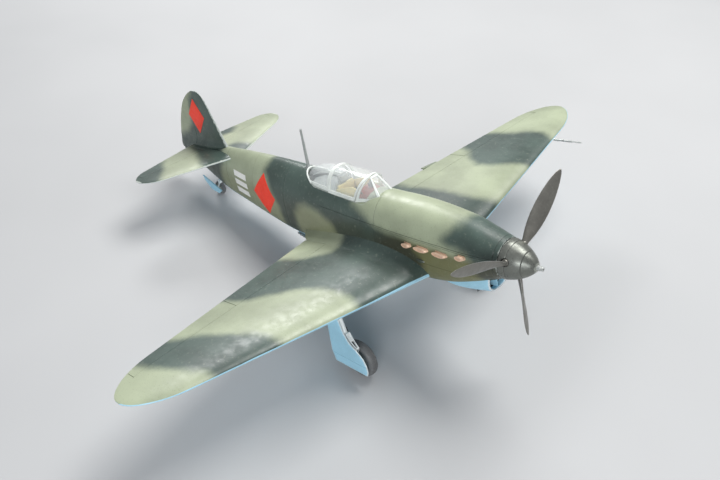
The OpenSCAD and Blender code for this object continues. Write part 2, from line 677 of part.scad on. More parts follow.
module rod(a, b, r) {
  d = b - a;
  l = norm(d);
  translate(a) rotate([0, acos(d[2] / l), atan2(d[1], d[0])]) cylinder(r = r, h = l);
}
leg_top = [-54.8, leg_y, -9.75];
leg_end = [-main_s, leg_y, main_z];
function on_leg(t) = leg_top + (leg_end - leg_top) * t;
module flip(side) {
  if (side > 0) children();
  else mirror([0, 1, 0]) children();
}
module main_leg(side) {
  color("#d5d9d6") flip(side) union() {
    rod(on_leg(0), on_leg(0.62), 0.95);
    rod(on_leg(0.6), on_leg(1), 0.62);
    rod(on_leg(0.6), on_leg(0.64), 1.1);
    translate(leg_end) rotate([90, 0, 0]) translate([0, 0, -0.6]) cylinder(r = 1.05, h = 1.3);
    translate(leg_end) rotate([90, 0, 0]) cylinder(r = axle_r, h = 4.6);
    translate(leg_end) rotate([90, 0, 0]) translate([0, 0, 4.55]) cylinder(r = 1.3, h = 0.35);
  }
}
module main_leg_left() {
  main_leg(1);
}
module main_leg_right() {
  main_leg(-1);
}
module scissor_link(side) {
  color("#d5d9d6") flip(side) union() {
    for (k = [[0.56, 0.74], [0.93, 0.74]]) {
      a = on_leg(k[0]) + [1.2, 0, 0];
      b = on_leg(k[1]) + [3.6, 0, 0];
      for (m = [-0.55, 0.55]) rod(a + [0, m, 0], b + [0, m * 0.6, 0], 0.3);
    }
    rod(on_leg(0.74) + [3.6, -0.75, 0], on_leg(0.74) + [3.6, 0.75, 0], 0.42);
    rod(on_leg(0.56) + [1.35, -0.8, 0], on_leg(0.56) + [1.35, 0.8, 0], 0.36);
    rod(on_leg(0.93) + [1.1, -0.8, 0], on_leg(0.93) + [1.1, 0.8, 0], 0.36);
  }
}
module scissor_link_left() {
  scissor_link(1);
}
module scissor_link_right() {
  scissor_link(-1);
}
module drag_strut(side) {
  color("#d5d9d6") flip(side) union() {
    rod(on_leg(0.34) + [-1.45, 0, 0], [-56.6, leg_y - 7, -10.6], 0.45);
    rod(on_leg(0.34) + [-1.4, -0.9, 0], on_leg(0.34) + [-1.4, 0.9, 0], 0.4);
  }
}
module drag_strut_left() {
  drag_strut(1);
}
module drag_strut_right() {
  drag_strut(-1);
}
door_outline = [[53.0, -12.5], [51.6, -18.3], [50.4, -23.0], [48.5, -26.3], [45.6, -28.3], [43.2, -30.4],
  [42.1, -33.0], [41.9, -35.4], [42.5, -37.1], [57.1, -37.1], [58.1, -32.9], [57.5, -22.1], [58.2, -12.5]];
module gear_door(side) {
  color("#8fb6cc") flip(side) union() {
    translate([0, door_y + 0.6, 0]) rotate([90, 0, 0]) linear_extrude(0.6)
      polygon([for (p = door_outline) [-p[0], p[1]]]);
  }
}
module gear_door_left() {
  gear_door(1);
}
module gear_door_right() {
  gear_door(-1);
}
module wheel_at(side) {
  translate([-main_s, side * main_y, main_z]) rotate([90, 0, 0]) children();
}
module main_hub(side) {
  color("#7d8377") wheel_at(side) rotate_extrude($fn = 72) polygon([
    [axle_r + run_gap, -1.5], [1.7, -1.5], [2.0, -0.9], [3.1, -0.9], [3.3, -1.35], [3.9, -1.35],
    [3.9, 1.35], [3.3, 1.35], [3.1, 0.9], [2.0, 0.9], [1.7, 1.5], [axle_r + run_gap, 1.5]]);
}
module main_hub_left() {
  main_hub(1);
}
module main_hub_right() {
  main_hub(-1);
}
module main_tyre(side) {
  w = main_w / 2;
  color("#3a3b3a") wheel_at(side) rotate_extrude($fn = 72) polygon([
    [3.92, -1.3], [4.5, -w + 0.1], [5.2, -w], [5.8, -w + 0.18], [6.25, -w + 0.5], [6.5, -w + 0.95],
    [main_r, -0.3], [main_r, 0.3], [6.5, w - 0.95], [6.25, w - 0.5], [5.8, w - 0.18], [5.2, w],
    [4.5, w - 0.1], [3.92, 1.3]]);
}
module main_tyre_left() {
  main_tyre(1);
}
module main_tyre_right() {
  main_tyre(-1);
}

module tail_leg() {
  e = [-tail_s, 0, tail_z];
  color("#d5d9d6") union() {
    rod([-155.2, 0, -6.2], [-157.65, 0, -11.5], 0.8);
    for (m = [-1.35, 1.35]) rod([-157.6, m, -11.35], e + [0.05, m, 0.1], 0.38);
    translate([-158.3, -1.8, -12.0]) cube([1.4, 3.6, 1.2]);
    rod(e - [0, 1.9, 0], e + [0, 1.9, 0], 0.5);
  }
}
module tail_wheel() {
  color("#3a3b3a") translate([-tail_s, 0, tail_z]) rotate([90, 0, 0]) rotate_extrude($fn = 72) polygon([
    [0.5 + run_gap, -0.75], [1.2, -0.75], [1.4, -0.45], [1.8, -0.45], [2.0, -0.8], [2.6, -0.8],
    [2.9, -0.45], [tail_r, -0.1], [tail_r, 0.1], [2.9, 0.45], [2.6, 0.8], [2.0, 0.8], [1.8, 0.45],
    [1.4, 0.45], [1.2, 0.75], [0.5 + run_gap, 0.75]]);
}
module tail_door(side) {
  color("#8fb6cc") flip(side) translate([0, 3.0, 0]) rotate([90 + 10, 0, 0]) linear_extrude(0.45)
    polygon([[-151.5, -12.7], [-164.4, -8.7], [-163, -10.6], [-158.5, -13.6], [-153.5, -14.2]]);
}
module tail_door_left() {
  tail_door(1);
}
module tail_door_right() {
  tail_door(-1);
}

place() fuselage_left();
place() fuselage_right();
place() wing_lower();
place() wing_upper_left();
place() wing_upper_right();
place() stabiliser_left();
place() stabiliser_right();
place() chin_intake();
place() chin_cooler_core();
place() belly_radiator();
place() radiator_core();
place() radiator_flap();
place() exhaust_stacks_left();
place() exhaust_stacks_right();
place() breather_scoops();
place() cockpit_tub();
place() pilot_seat();
place() seat_armour();
place() instrument_panel();
place() control_stick();
place() rudder_pedals();
place() gunsight();
place() side_console_left();
place() side_console_right();
place() rear_deck();
place() windscreen();
place() canopy_hood();
place() rear_glazing();
place() antenna_mast();
place() pitot_tube();
place() aileron_tab();
place() main_leg_left();
place() main_leg_right();
place() scissor_link_left();
place() scissor_link_right();
place() drag_strut_left();
place() drag_strut_right();
place() gear_door_left();
place() gear_door_right();
place() main_hub_left();
place() main_hub_right();
place() main_tyre_left();
place() main_tyre_right();
place() tail_leg();
place() tail_wheel();
place() tail_door_left();
place() tail_door_right();
place() spinner();
place() spinner_backplate();
place() prop_hub();
place() prop_blade_1();
place() prop_blade_2();
place() prop_blade_3();
place() prop_shaft();
place() shaft_bushing();
place() nose_bulkhead();
place() shaft_collar();
place() cannon_muzzle();

module place() {
  translate([-centre_x, 0, -floor_z]) rotate([0, -stance, 0]) children();
}
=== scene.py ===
import math

import bpy
import numpy as np
from mathutils import Matrix, Vector


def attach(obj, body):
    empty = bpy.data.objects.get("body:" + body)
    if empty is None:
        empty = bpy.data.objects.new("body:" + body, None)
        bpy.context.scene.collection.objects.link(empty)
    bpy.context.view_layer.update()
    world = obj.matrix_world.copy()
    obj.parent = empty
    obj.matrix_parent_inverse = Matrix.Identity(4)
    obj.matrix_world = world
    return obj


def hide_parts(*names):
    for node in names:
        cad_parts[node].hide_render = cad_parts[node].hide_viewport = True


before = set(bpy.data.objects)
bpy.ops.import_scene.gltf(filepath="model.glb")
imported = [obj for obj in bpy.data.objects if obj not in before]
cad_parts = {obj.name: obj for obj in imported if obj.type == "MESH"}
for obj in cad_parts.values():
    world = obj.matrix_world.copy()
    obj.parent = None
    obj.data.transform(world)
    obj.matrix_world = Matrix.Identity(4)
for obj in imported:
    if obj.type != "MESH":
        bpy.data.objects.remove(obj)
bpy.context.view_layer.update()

# ---------------------------------------------------------------- frame
# Shapes are worked out in the aircraft frame, in millimetres: x = -station, y to port, z up.
MAIN_S, MAIN_Y, MAIN_Z, MAIN_R, MAIN_W = 49.1, 30.4, -35.4, 6.6, 3.6
TAIL_S, TAIL_Z, TAIL_R = 160.5, -15.5, 3.0
STANCE = math.asin((MAIN_R - TAIL_R) / math.hypot(TAIL_S - MAIN_S, TAIL_Z - MAIN_Z)) + math.atan(
    (TAIL_Z - MAIN_Z) / (TAIL_S - MAIN_S)
)
CP, SP = math.cos(STANCE), math.sin(STANCE)
FLOOR_Z = -MAIN_S * SP + MAIN_Z * CP - MAIN_R
CENTRE_X = -87.775


def turn(p):
    """Pitches the aircraft nose up onto its three wheels."""
    p = np.asarray(p, float)
    x, y, z = p[..., 0], p[..., 1], p[..., 2]
    return np.stack([x * CP - z * SP, y, x * SP + z * CP], -1)


def put(p):
    """From the aircraft frame in millimetres to the shared frame in metres."""
    return (turn(p) - np.array([CENTRE_X, 0, FLOOR_Z])) / 1000


# ---------------------------------------------------------------- mesh helpers
def mesh(u, v):
    """Two grids that run over every pair of values of u and v."""
    return np.meshgrid(u, v, indexing="ij")


def make(name, verts, faces, mats, body="airframe", slot=None, replaces=(), angle=32, attrs=None,
         face_mat=None):
    me = bpy.data.meshes.new(name)
    me.from_pydata(put(verts).tolist(), [], [list(map(int, f)) for f in faces])
    for m in mats if isinstance(mats, (list, tuple)) else [mats]:
        me.materials.append(m)
    if face_mat is not None:
        me.polygons.foreach_set("material_index", np.asarray(face_mat, np.int32))
    for key, val in (attrs or {}).items():
        a = me.attributes.new(key, "FLOAT", "POINT")
        a.data.foreach_set("value", np.asarray(val, np.float32).ravel())
    me.shade_smooth()
    me.set_sharp_from_angle(angle=math.radians(angle))
    me.validate()
    me.update()
    o = bpy.data.objects.new(name, me)
    bpy.context.scene.collection.objects.link(o)
    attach(o, body)
    if replaces:
        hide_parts(*replaces)
    return o


def quads(m, n, close_v=False, close_u=False, flip=False, base=0):
    i = np.arange(m if close_u else m - 1)[:, None]
    j = np.arange(n if close_v else n - 1)[None, :]
    a = i * n + j
    b = i * n + (j + 1) % n
    c = ((i + 1) % m) * n + (j + 1) % n
    d = ((i + 1) % m) * n + j
    f = np.stack([a + 0 * b, b + 0 * a, c, d], -1).reshape(-1, 4)
    return (f[:, ::-1] if flip else f) + base


def capped(m, n):
    """Faces of a tube of m rings with n points each, closed at both ends."""
    ends = [list(range(n)), [(m - 1) * n + j for j in range(n)][::-1]]
    return [list(q) for q in quads(m, n, True, flip=True)] + ends


def outward(v, faces):
    """Faces of a closed piece, turned over where they face inwards."""
    faces = [[int(x) for x in q] for q in faces]
    edges = {(q[i - 1], q[i]) for q in faces for i in range(len(q))}
    if any((b, a) not in edges for a, b in edges):
        return faces
    tri = np.array([(q[0], q[i], q[i + 1]) for q in faces for i in range(1, len(q) - 1)])
    v = v - v.mean(0)
    volume = np.einsum("ij,ij->i", v[tri[:, 0]], np.cross(v[tri[:, 1]], v[tri[:, 2]])).sum()
    return [q[::-1] for q in faces] if volume < 0 else faces


class Parts:
    """Collects several surfaces into one mesh."""

    def __init__(self):
        self.v, self.f, self.mat, self.att, self.n = [], [], [], {}, 0

    def add(self, verts, faces, mat=0, **att):
        verts = np.asarray(verts, float).reshape(-1, 3)
        faces = outward(verts, faces)
        k = len(verts)
        for key in sorted(set(self.att) | set(att)):
            old = self.att.get(key, np.zeros(self.n))
            new = np.broadcast_to(np.asarray(att.get(key, 0.0), float).ravel(), (k,))
            self.att[key] = np.concatenate([old, new])
        self.v.append(verts)
        self.f += [[x + self.n for x in q] for q in faces]
        self.mat += [mat] * len(faces)
        self.n += k
        return self

    def shell(self, outer, inner, close_v=False, mat=0, **att):
        """Closed plate between two grids (m, n, 3)."""
        m, n = outer.shape[:2]
        k = m * n
        f = [list(q) for q in quads(m, n, close_v)]
        f += [list(q) for q in quads(m, n, close_v, flip=True, base=k)]

        def rim(a, b, turned):
            q = [a, a + k, b + k, b]
            f.append(q[::-1] if turned else q)

        for j in range(n if close_v else n - 1):
            for i in (0, m - 1):
                rim(i * n + j, i * n + (j + 1) % n, i > 0)
        if not close_v:
            for i in range(m - 1):
                for j in (0, n - 1):
                    rim(i * n + j, (i + 1) * n + j, j == 0)
        att2 = {}
        for key, val in att.items():
            val = np.broadcast_to(np.asarray(val, float), (m, n)).ravel()
            att2[key] = np.concatenate([val, val])
        return self.add(np.concatenate([outer.reshape(-1, 3), inner.reshape(-1, 3)]), f, mat, **att2)

    def tube(self, path, radius, n=20, mat=0, **att):
        """Round bar along a list of points."""
        path = np.asarray(path, float)
        radius = np.broadcast_to(np.asarray(radius, float), (len(path),))
        rings = []
        for i, p in enumerate(path):
            d = path[min(i + 1, len(path) - 1)] - path[max(i - 1, 0)]
            d = d / np.linalg.norm(d)
            a = np.cross(d, [0.13, 0.37, 0.92] if abs(d[2]) < 0.9 else [1, 0.1, 0])
            a /= np.linalg.norm(a)
            b = np.cross(d, a)
            q = np.linspace(0, 2 * np.pi, n, endpoint=False)[:, None]
            rings.append(p + radius[i] * (np.cos(q) * a + np.sin(q) * b))
        g = np.array(rings)
        return self.add(g.reshape(-1, 3), capped(len(path), n), mat, **att)

    def box(self, lo, hi, mat=0, **att):
        x0, y0, z0 = lo
        x1, y1, z1 = hi
        v = np.array([[x, y, z] for x in (x0, x1) for y in (y0, y1) for z in (z0, z1)], float)
        f = [[0, 1, 3, 2], [4, 6, 7, 5], [0, 4, 5, 1], [2, 3, 7, 6], [0, 2, 6, 4], [1, 5, 7, 3]]
        return self.add(v, f, mat, **att)

    def done(self, name, mats, **kw):
        return make(
            name, np.concatenate(self.v), self.f, mats, attrs=dict(self.att), face_mat=self.mat, **kw
        )


def bevel(o, width):
    m = o.modifiers.new("bevel", "BEVEL")
    m.width = width / 1000
    m.segments = 2
    m.limit_method = "ANGLE"
    m.angle_limit = math.radians(35)
    m.harden_normals = False


def knots(a, b, step, lines=(), w=0.11):
    """Evenly spaced values with extra ones around each line."""
    base = list(np.linspace(a, b, max(2, int(round((b - a) / step)) + 1)))
    extra = [v for x in lines for v in (x - w, x, x + w) if a <= v <= b]
    keep = [v for v in base if all(abs(v - e) > w * 0.6 for e in extra) or v in (a, b)]
    return np.array(sorted(set(np.round(keep + extra, 5))))


def table(tab, s, c):
    """Smooth value of column c at station s."""
    tab = np.asarray(tab, float)
    s = np.asarray(s, float)
    x, y = tab[:, 0], tab[:, c]
    m = np.empty(len(x))
    m[1:-1] = (y[2:] - y[:-2]) / (x[2:] - x[:-2])
    m[0] = (y[1] - y[0]) / (x[1] - x[0])
    m[-1] = (y[-1] - y[-2]) / (x[-1] - x[-2])
    i = np.clip(np.searchsorted(x, s, side="right") - 1, 0, len(x) - 2)
    h = x[i + 1] - x[i]
    t = (s - x[i]) / h
    return (
        (2 * t**3 - 3 * t**2 + 1) * y[i]
        + (t**3 - 2 * t**2 + t) * h * m[i]
        + (3 * t**2 - 2 * t**3) * y[i + 1]
        + (t**3 - t**2) * h * m[i + 1]
    )


def line(points, s):
    p = np.asarray(points, float)
    return np.interp(s, p[:, 0], p[:, 1])


def spow(v, p):
    return np.sign(v) * np.abs(v) ** p


def inside(poly, x, y):
    """Signed distance to a closed outline: positive inside."""
    poly = np.asarray(poly, float)
    d = np.full(np.shape(x), 1e9)
    hit = np.zeros(np.shape(x), bool)
    for i in range(len(poly)):
        (x0, y0), (x1, y1) = poly[i - 1], poly[i]
        dx, dy = x1 - x0, y1 - y0
        t = np.clip(((x - x0) * dx + (y - y0) * dy) / (dx * dx + dy * dy), 0, 1)
        d = np.minimum(d, np.hypot(x - x0 - t * dx, y - y0 - t * dy))
        cross = (y0 > y) != (y1 > y)
        with np.errstate(divide="ignore", invalid="ignore"):
            hit ^= cross & (x < dx * (y - y0) / (dy if dy else 1e-9) + x0)
    return np.where(hit, d, -d)


def union(parts):
    """Signed distance into the union of several outlines, limited to 12 mm."""
    out = parts[0]
    for p in parts[1:]:
        out = np.maximum(out, p)
    return np.clip(out, -12, 12)


# ---------------------------------------------------------------- materials
def nodes_of(name):
    m = bpy.data.materials.new(name)
    m.use_nodes = True
    nt = m.node_tree
    return m, nt, nt.nodes["Principled BSDF"]


def add(nt, kind, inputs=None, **props):
    n = nt.nodes.new(kind)
    for k, v in props.items():
        setattr(n, k, v)
    for k, v in (inputs or {}).items():
        if hasattr(v, "is_linked") or isinstance(v, bpy.types.NodeSocket):
            nt.links.new(v, n.inputs[k])
        else:
            n.inputs[k].default_value = v
    return n


def noise(nt, co, scale, detail=3.0, rough=0.55):
    values = {"Vector": co, "Scale": scale, "Detail": detail, "Roughness": rough}
    return add(nt, "ShaderNodeTexNoise", values).outputs["Fac"]


def ramp(nt, v, a, b, c=0.0, d=1.0):
    """Maps a..b to c..d with soft ends."""
    n = add(nt, "ShaderNodeMapRange", {"Value": v, "From Min": a, "From Max": b, "To Min": c, "To Max": d})
    n.interpolation_type = "SMOOTHSTEP"
    n.clamp = True
    return n.outputs["Result"]


def calc(nt, op, a, b=0.0, c=0.0):
    n = add(nt, "ShaderNodeMath", operation=op)
    for i, v in enumerate((a, b, c)):
        if isinstance(v, bpy.types.NodeSocket):
            nt.links.new(v, n.inputs[i])
        else:
            n.inputs[i].default_value = v
    return n.outputs[0]


def mix(nt, fac, a, b):
    n = add(nt, "ShaderNodeMix", data_type="RGBA", blend_type="MIX")
    ins = [s for s in n.inputs if s.enabled]
    for s, v in zip(ins, (fac, a, b)):
        if isinstance(v, bpy.types.NodeSocket):
            nt.links.new(v, s)
        else:
            s.default_value = v if not isinstance(v, (tuple, list)) else tuple(v)[:3] + (1.0,)
    return [s for s in n.outputs if s.enabled][0]


def attr(nt, name):
    return add(nt, "ShaderNodeAttribute", attribute_name=name).outputs["Fac"]


def tone(colour, k):
    return tuple(np.array(colour) * k)


def stir(nt, base, n, amount):
    """base moved up and down by the noise n."""
    return calc(nt, "ADD", base, calc(nt, "MULTIPLY", calc(nt, "SUBTRACT", n, 0.5), amount))


def finish_paint(nt, bsdf, co, colour, rough, bump, spread=0.1):
    """Roughness and fine bump shared by every paint. bump is in millimetres."""
    fine = noise(nt, co, 2600.0, 2.0)
    mid = noise(nt, co, 420.0, 4.0)
    r = ramp(nt, mid, 0.3, 0.7, rough - spread, rough + spread)
    nt.links.new(r, bsdf.inputs["Roughness"])
    nt.links.new(colour, bsdf.inputs["Base Color"])
    h = calc(nt, "MULTIPLY", fine, 0.6)
    h = calc(nt, "ADD", h, calc(nt, "MULTIPLY", mid, 0.5))
    b = add(nt, "ShaderNodeBump", {"Strength": 0.35, "Distance": bump / 1000, "Height": h})
    nt.links.new(b.outputs["Normal"], bsdf.inputs["Normal"])


def paint(name, colour, rough=0.45, var=0.12, speck=0.1, bump=0.05, metal=0.0,
          wear=None, wear_on=0.55, dark=0.35, spread=0.1):
    """Painted plastic: broad tone changes, fine speckle, wash in the engraved lines, rubbed edges."""
    m, nt, bsdf = nodes_of(name)
    co = add(nt, "ShaderNodeTexCoord").outputs["Object"]
    c = np.array(colour, float)
    broad = noise(nt, co, 70.0, 4.0)
    fine = noise(nt, co, 1500.0, 3.0, 0.6)
    col = mix(nt, ramp(nt, broad, 0.3, 0.7), tuple(c * (1 - var)), tuple(np.minimum(c * (1 + var), 1)))
    col = mix(nt, ramp(nt, fine, 0.52, 0.78, 0, speck * 3), col, tuple(np.minimum(c * 1.5 + 0.04, 1)))
    col = mix(nt, ramp(nt, fine, 0.46, 0.22, 0, speck * 3), col, tuple(c * 0.45))
    col = mix(nt, calc(nt, "MULTIPLY", attr(nt, "line"), 0.85), col, tuple(c * dark))
    if wear is not None:
        edge = stir(nt, attr(nt, "wear"), fine, 0.9)
        col = mix(nt, ramp(nt, edge, wear_on, wear_on + 0.25, 0, 0.85), col, tuple(wear))
    bsdf.inputs["Metallic"].default_value = metal
    finish_paint(nt, bsdf, co, col, rough, bump, spread=spread)
    return m


PALE = (0.325, 0.365, 0.250)
DARK = (0.052, 0.079, 0.067)
OLIVE = (0.047, 0.050, 0.032)
BLUE = (0.345, 0.600, 0.730)
EDGE = (0.50, 0.54, 0.50)


def camouflage(name):
    m, nt, bsdf = nodes_of(name)
    co = add(nt, "ShaderNodeTexCoord").outputs["Object"]
    broad = noise(nt, co, 55.0, 4.0)
    wob = noise(nt, co, 130.0, 3.0)
    grain = noise(nt, co, 900.0, 4.0, 0.65)
    fine = noise(nt, co, 2600.0, 2.0, 0.6)
    d = stir(nt, attr(nt, "camo"), wob, 3.2)
    d = stir(nt, d, grain, 1.8)
    k = ramp(nt, d, -2.3, 2.3)
    pale = mix(nt, ramp(nt, broad, 0.3, 0.7), tone(PALE, 0.84), tone(PALE, 1.16))
    dark = mix(nt, ramp(nt, broad, 0.35, 0.65), tone(DARK, 0.85), tone(DARK, 1.3))
    # the olive mask turns both colours darker and more olive towards the bottom of the fuselage
    dark = mix(nt, attr(nt, "olive"), dark, OLIVE)
    pale = mix(nt, attr(nt, "olive"), pale, (0.150, 0.150, 0.068))
    col = mix(nt, k, pale, dark)
    blue = mix(nt, ramp(nt, broad, 0.3, 0.7), tone(BLUE, 0.92), tone(BLUE, 1.06))
    e = stir(nt, attr(nt, "blue"), wob, 0.5)
    col = mix(nt, ramp(nt, e, 0.38, 0.62), col, blue)
    col = mix(nt, ramp(nt, grain, 0.55, 0.8, 0, 0.28), col, (0.42, 0.45, 0.36))
    col = mix(nt, ramp(nt, fine, 0.42, 0.2, 0, 0.4), col, (0.02, 0.024, 0.02))
    col = mix(nt, calc(nt, "MULTIPLY", attr(nt, "line"), 0.8), col, (0.02, 0.022, 0.018))
    edge = stir(nt, attr(nt, "wear"), grain, 1.1)
    col = mix(nt, ramp(nt, edge, 0.6, 0.9, 0, 0.8), col, EDGE)
    finish_paint(nt, bsdf, co, col, 0.39, 0.06, spread=0.07)
    return m


def clear_plastic(name, alpha=0.24):
    m, nt, bsdf = nodes_of(name)
    co = add(nt, "ShaderNodeTexCoord").outputs["Object"]
    n = noise(nt, co, 260.0, 3.0)
    fine = noise(nt, co, 1800.0, 3.0)
    col = mix(nt, ramp(nt, n, 0.3, 0.7), (0.80, 0.85, 0.84), (0.94, 0.97, 0.96))
    nt.links.new(col, bsdf.inputs["Base Color"])
    nt.links.new(ramp(nt, fine, 0.3, 0.7, 0.05, 0.13), bsdf.inputs["Roughness"])
    b = add(nt, "ShaderNodeBump", {"Strength": 0.2, "Distance": 0.00005, "Height": n})
    nt.links.new(b.outputs["Normal"], bsdf.inputs["Normal"])
    bsdf.inputs["Alpha"].default_value = alpha
    bsdf.inputs["IOR"].default_value = 1.5
    m.surface_render_method = "BLENDED"
    return m


CAMO = camouflage("camouflage")
SKY = paint("sky blue", BLUE, 0.42, 0.08, 0.06, 0.05, wear=(0.62, 0.66, 0.66), wear_on=0.62, dark=0.4)
WHITE_EDGE = paint("pale edge", (0.62, 0.66, 0.66), 0.4, 0.08, 0.08, 0.04)
COPPER = paint("exhaust copper", (0.68, 0.46, 0.32), 0.42, 0.16, 0.12, 0.06, metal=0.15,
               wear=(0.78, 0.55, 0.42),
               wear_on=0.6)
# near-black paint used as painted shade: the dark lining inside the chin intake
SHADE_BLACK = paint("painted shade black", (0.02, 0.018, 0.016), 0.8, 0.2, 0.1, 0.05)
SPINNER = paint("spinner green", (0.135, 0.142, 0.126), 0.36, 0.14, 0.14, 0.05, metal=0.55,
                wear=(0.45, 0.47, 0.42),
                wear_on=0.62)
BLADE = paint("blade gunmetal", (0.175, 0.170, 0.150), 0.36, 0.16, 0.1, 0.04, metal=0.6,
              wear=(0.42, 0.42, 0.40),
              wear_on=0.55, spread=0.08)
METAL = paint("light metal", (0.56, 0.58, 0.56), 0.34, 0.1, 0.1, 0.04, metal=0.6)
STRUT = paint("strut silver", (0.80, 0.83, 0.81), 0.36, 0.1, 0.12, 0.05, metal=0.15, wear=(0.92, 0.92, 0.9))
TYRE = paint("tyre grey", (0.135, 0.138, 0.138), 0.52, 0.15, 0.18, 0.09, wear=(0.16, 0.155, 0.14),
             wear_on=0.6)
HUB = paint("hub green", (0.23, 0.26, 0.22), 0.5, 0.1, 0.1, 0.05, wear=(0.5, 0.52, 0.5))
MAST = paint("mast grey", (0.30, 0.32, 0.31), 0.45, 0.12, 0.14, 0.05, wear=(0.55, 0.56, 0.55))
INTERIOR = paint("interior grey", (0.40, 0.43, 0.42), 0.6, 0.12, 0.12, 0.06)
CREAM = paint("seat cream", (0.95, 0.80, 0.40), 0.6, 0.1, 0.1, 0.05, wear=(0.9, 0.85, 0.6))
REDBROWN = paint("panel red brown", (0.40, 0.065, 0.028), 0.45, 0.25, 0.2, 0.06)
BLACK = paint("satin black", (0.018, 0.018, 0.018), 0.4, 0.2, 0.12, 0.04)
FRAME = paint("canopy frame", (0.74, 0.78, 0.74), 0.4, 0.1, 0.12, 0.04, wear=(0.88, 0.9, 0.88), wear_on=0.6)
RED = paint("emblem red", (0.86, 0.040, 0.012), 0.5, 0.08, 0.08, 0.03, spread=0.06)
WHITE = paint("mark white", (0.80, 0.80, 0.76), 0.38, 0.05, 0.06, 0.03, spread=0.06)
GREY = paint("moulded grey", (0.33, 0.34, 0.34), 0.5, 0.1, 0.08, 0.05)
BRASS = paint("bushing brass", (0.48, 0.36, 0.15), 0.35, 0.1, 0.08, 0.04, metal=0.7)
GLASS = clear_plastic("clear canopy")

# ---------------------------------------------------------------- fuselage
HULL = np.array([
    [9.9, 6.3, 6.3, 0, -6.3, 2.0, 2.0], [13.8, 7.1, 7.2, -0.1, -8.3, 2.05, 2.1],
    [17.5, 7.6, 8.2, -0.3, -10.2, 2.1, 2.2], [23.3, 8.2, 9.5, -0.6, -12.5, 2.2, 2.3],
    [30.8, 8.5, 10.1, -1.0, -14.7, 2.3, 2.5], [38.5, 8.7, 10.4, -1.3, -16.0, 2.35, 2.7],
    [47.0, 8.8, 10.2, -1.7, -16.5, 2.35, 2.9], [55.2, 8.8, 9.6, -2.1, -16.6, 2.3, 3.0],
    [66.7, 8.8, 9.3, -2.6, -16.9, 2.2, 3.2], [79.2, 8.7, 9.3, -3.0, -17.4, 2.05, 3.4],
    [95.0, 8.5, 9.4, -3.2, -18.1, 1.85, 3.5], [105.2, 8.2, 9.3, -3.1, -17.9, 1.75, 3.5],
    [116.7, 7.6, 8.9, -2.9, -16.5, 1.7, 3.4], [129.2, 6.5, 8.1, -2.4, -15.0, 1.7, 3.2],
    [142.7, 5.0, 6.9, -1.7, -13.8, 1.75, 2.9], [151.0, 4.2, 6.2, -1.1, -12.3, 1.8, 2.7],
    [164.6, 2.4, 4.8, -0.4, -8.2, 1.9, 2.3], [173.0, 1.2, 3.2, 0, -5.6, 2.0, 2.1],
    [177.0, 0.7, 2.0, 0.2, -4.2, 2.0, 2.0],
])
SILL = 6.1
NOSE_S, END_S = 9.9, 177
OPEN_FROM, OPEN_TO = 56.2, 95.3


def hull_at(s):
    """Half width, top, middle, bottom and the two exponents at station s."""
    return [table(HULL, s, c) for c in range(1, 7)]


def hull_point(s, q, d=0.0):
    """Skin point at station s and angle q from the top, in degrees, on the port side."""
    w, zt, zm, zb, nt, nb = hull_at(s)
    c = np.cos(np.radians(q))
    k = np.where(c >= 0, 2 / nt, 2 / nb)
    h = np.where(c >= 0, zt + d - zm, zm - zb + d)
    return np.stack([-s + 0 * q, (w + d) * spow(np.sin(np.radians(q)), k), zm + h * spow(c, k)], -1)


def hull_angle(s, z, d=0.0):
    """Angle from the top at which the skin reaches height z."""
    w, zt, zm, zb, nt, nb = hull_at(s)
    up = np.clip((z - zm) / (zt + d - zm), 0, 1) ** (nt / 2)
    dn = np.clip((zm - z) / (zm - zb + d), 0, 1) ** (nb / 2)
    return np.where(z >= zm, np.degrees(np.arccos(up)), 180 - np.degrees(np.arccos(dn)))


def hull_angle_y(s, y, d=0.0):
    """Angle from the top at which the skin reaches half width y."""
    w, zt, zm, zb, nt, nb = hull_at(s)
    return np.degrees(np.arcsin(np.clip(y / (w + d), 0, 1) ** (nt / 2)))


def hull_side(s, z):
    """Half width of the skin at station s and height z."""
    p = hull_point(np.asarray(s, float), hull_angle(np.asarray(s, float), np.asarray(z, float)))
    return p[..., 1]


def skin_z(s, y):
    """Height of the upper skin at station s and offset y."""
    return hull_point(s, hull_angle_y(s, np.abs(y)))[..., 2]


OPEN_Y = [(56.2, 0), (56.5, 2.4), (60, 4.2), (66.5, 9.4), (85, 9.4), (86.5, 6.1), (89.6, 5.15),
          (91.3, 4.5), (92.7, 3.7), (94.5, 2.2), (95.0, 1.2), (95.3, 0)]
GUIDE_A = [(9.9, 2.3), (30, 2.1), (46, 1.5), (57, 1.3), (100, 0.8), (140, 0.5), (165, 0.3), (177, 0.25)]
GUIDE_C = [(9.9, -3.0), (14, -4.6), (20, -6.0), (46, -6.6), (57, -6.8), (100, -7), (140, -6), (165, -3),
           (177, -1.6)]


def on(v, x):
    """True on the grid line at x."""
    return np.abs(v - x) < 1e-4


def window(v, a, b, soft):
    """One between a and b, with soft ends outside them."""
    return np.clip((v - a) / soft + 1, 0, 1) * np.clip((b - v) / soft + 1, 0, 1)


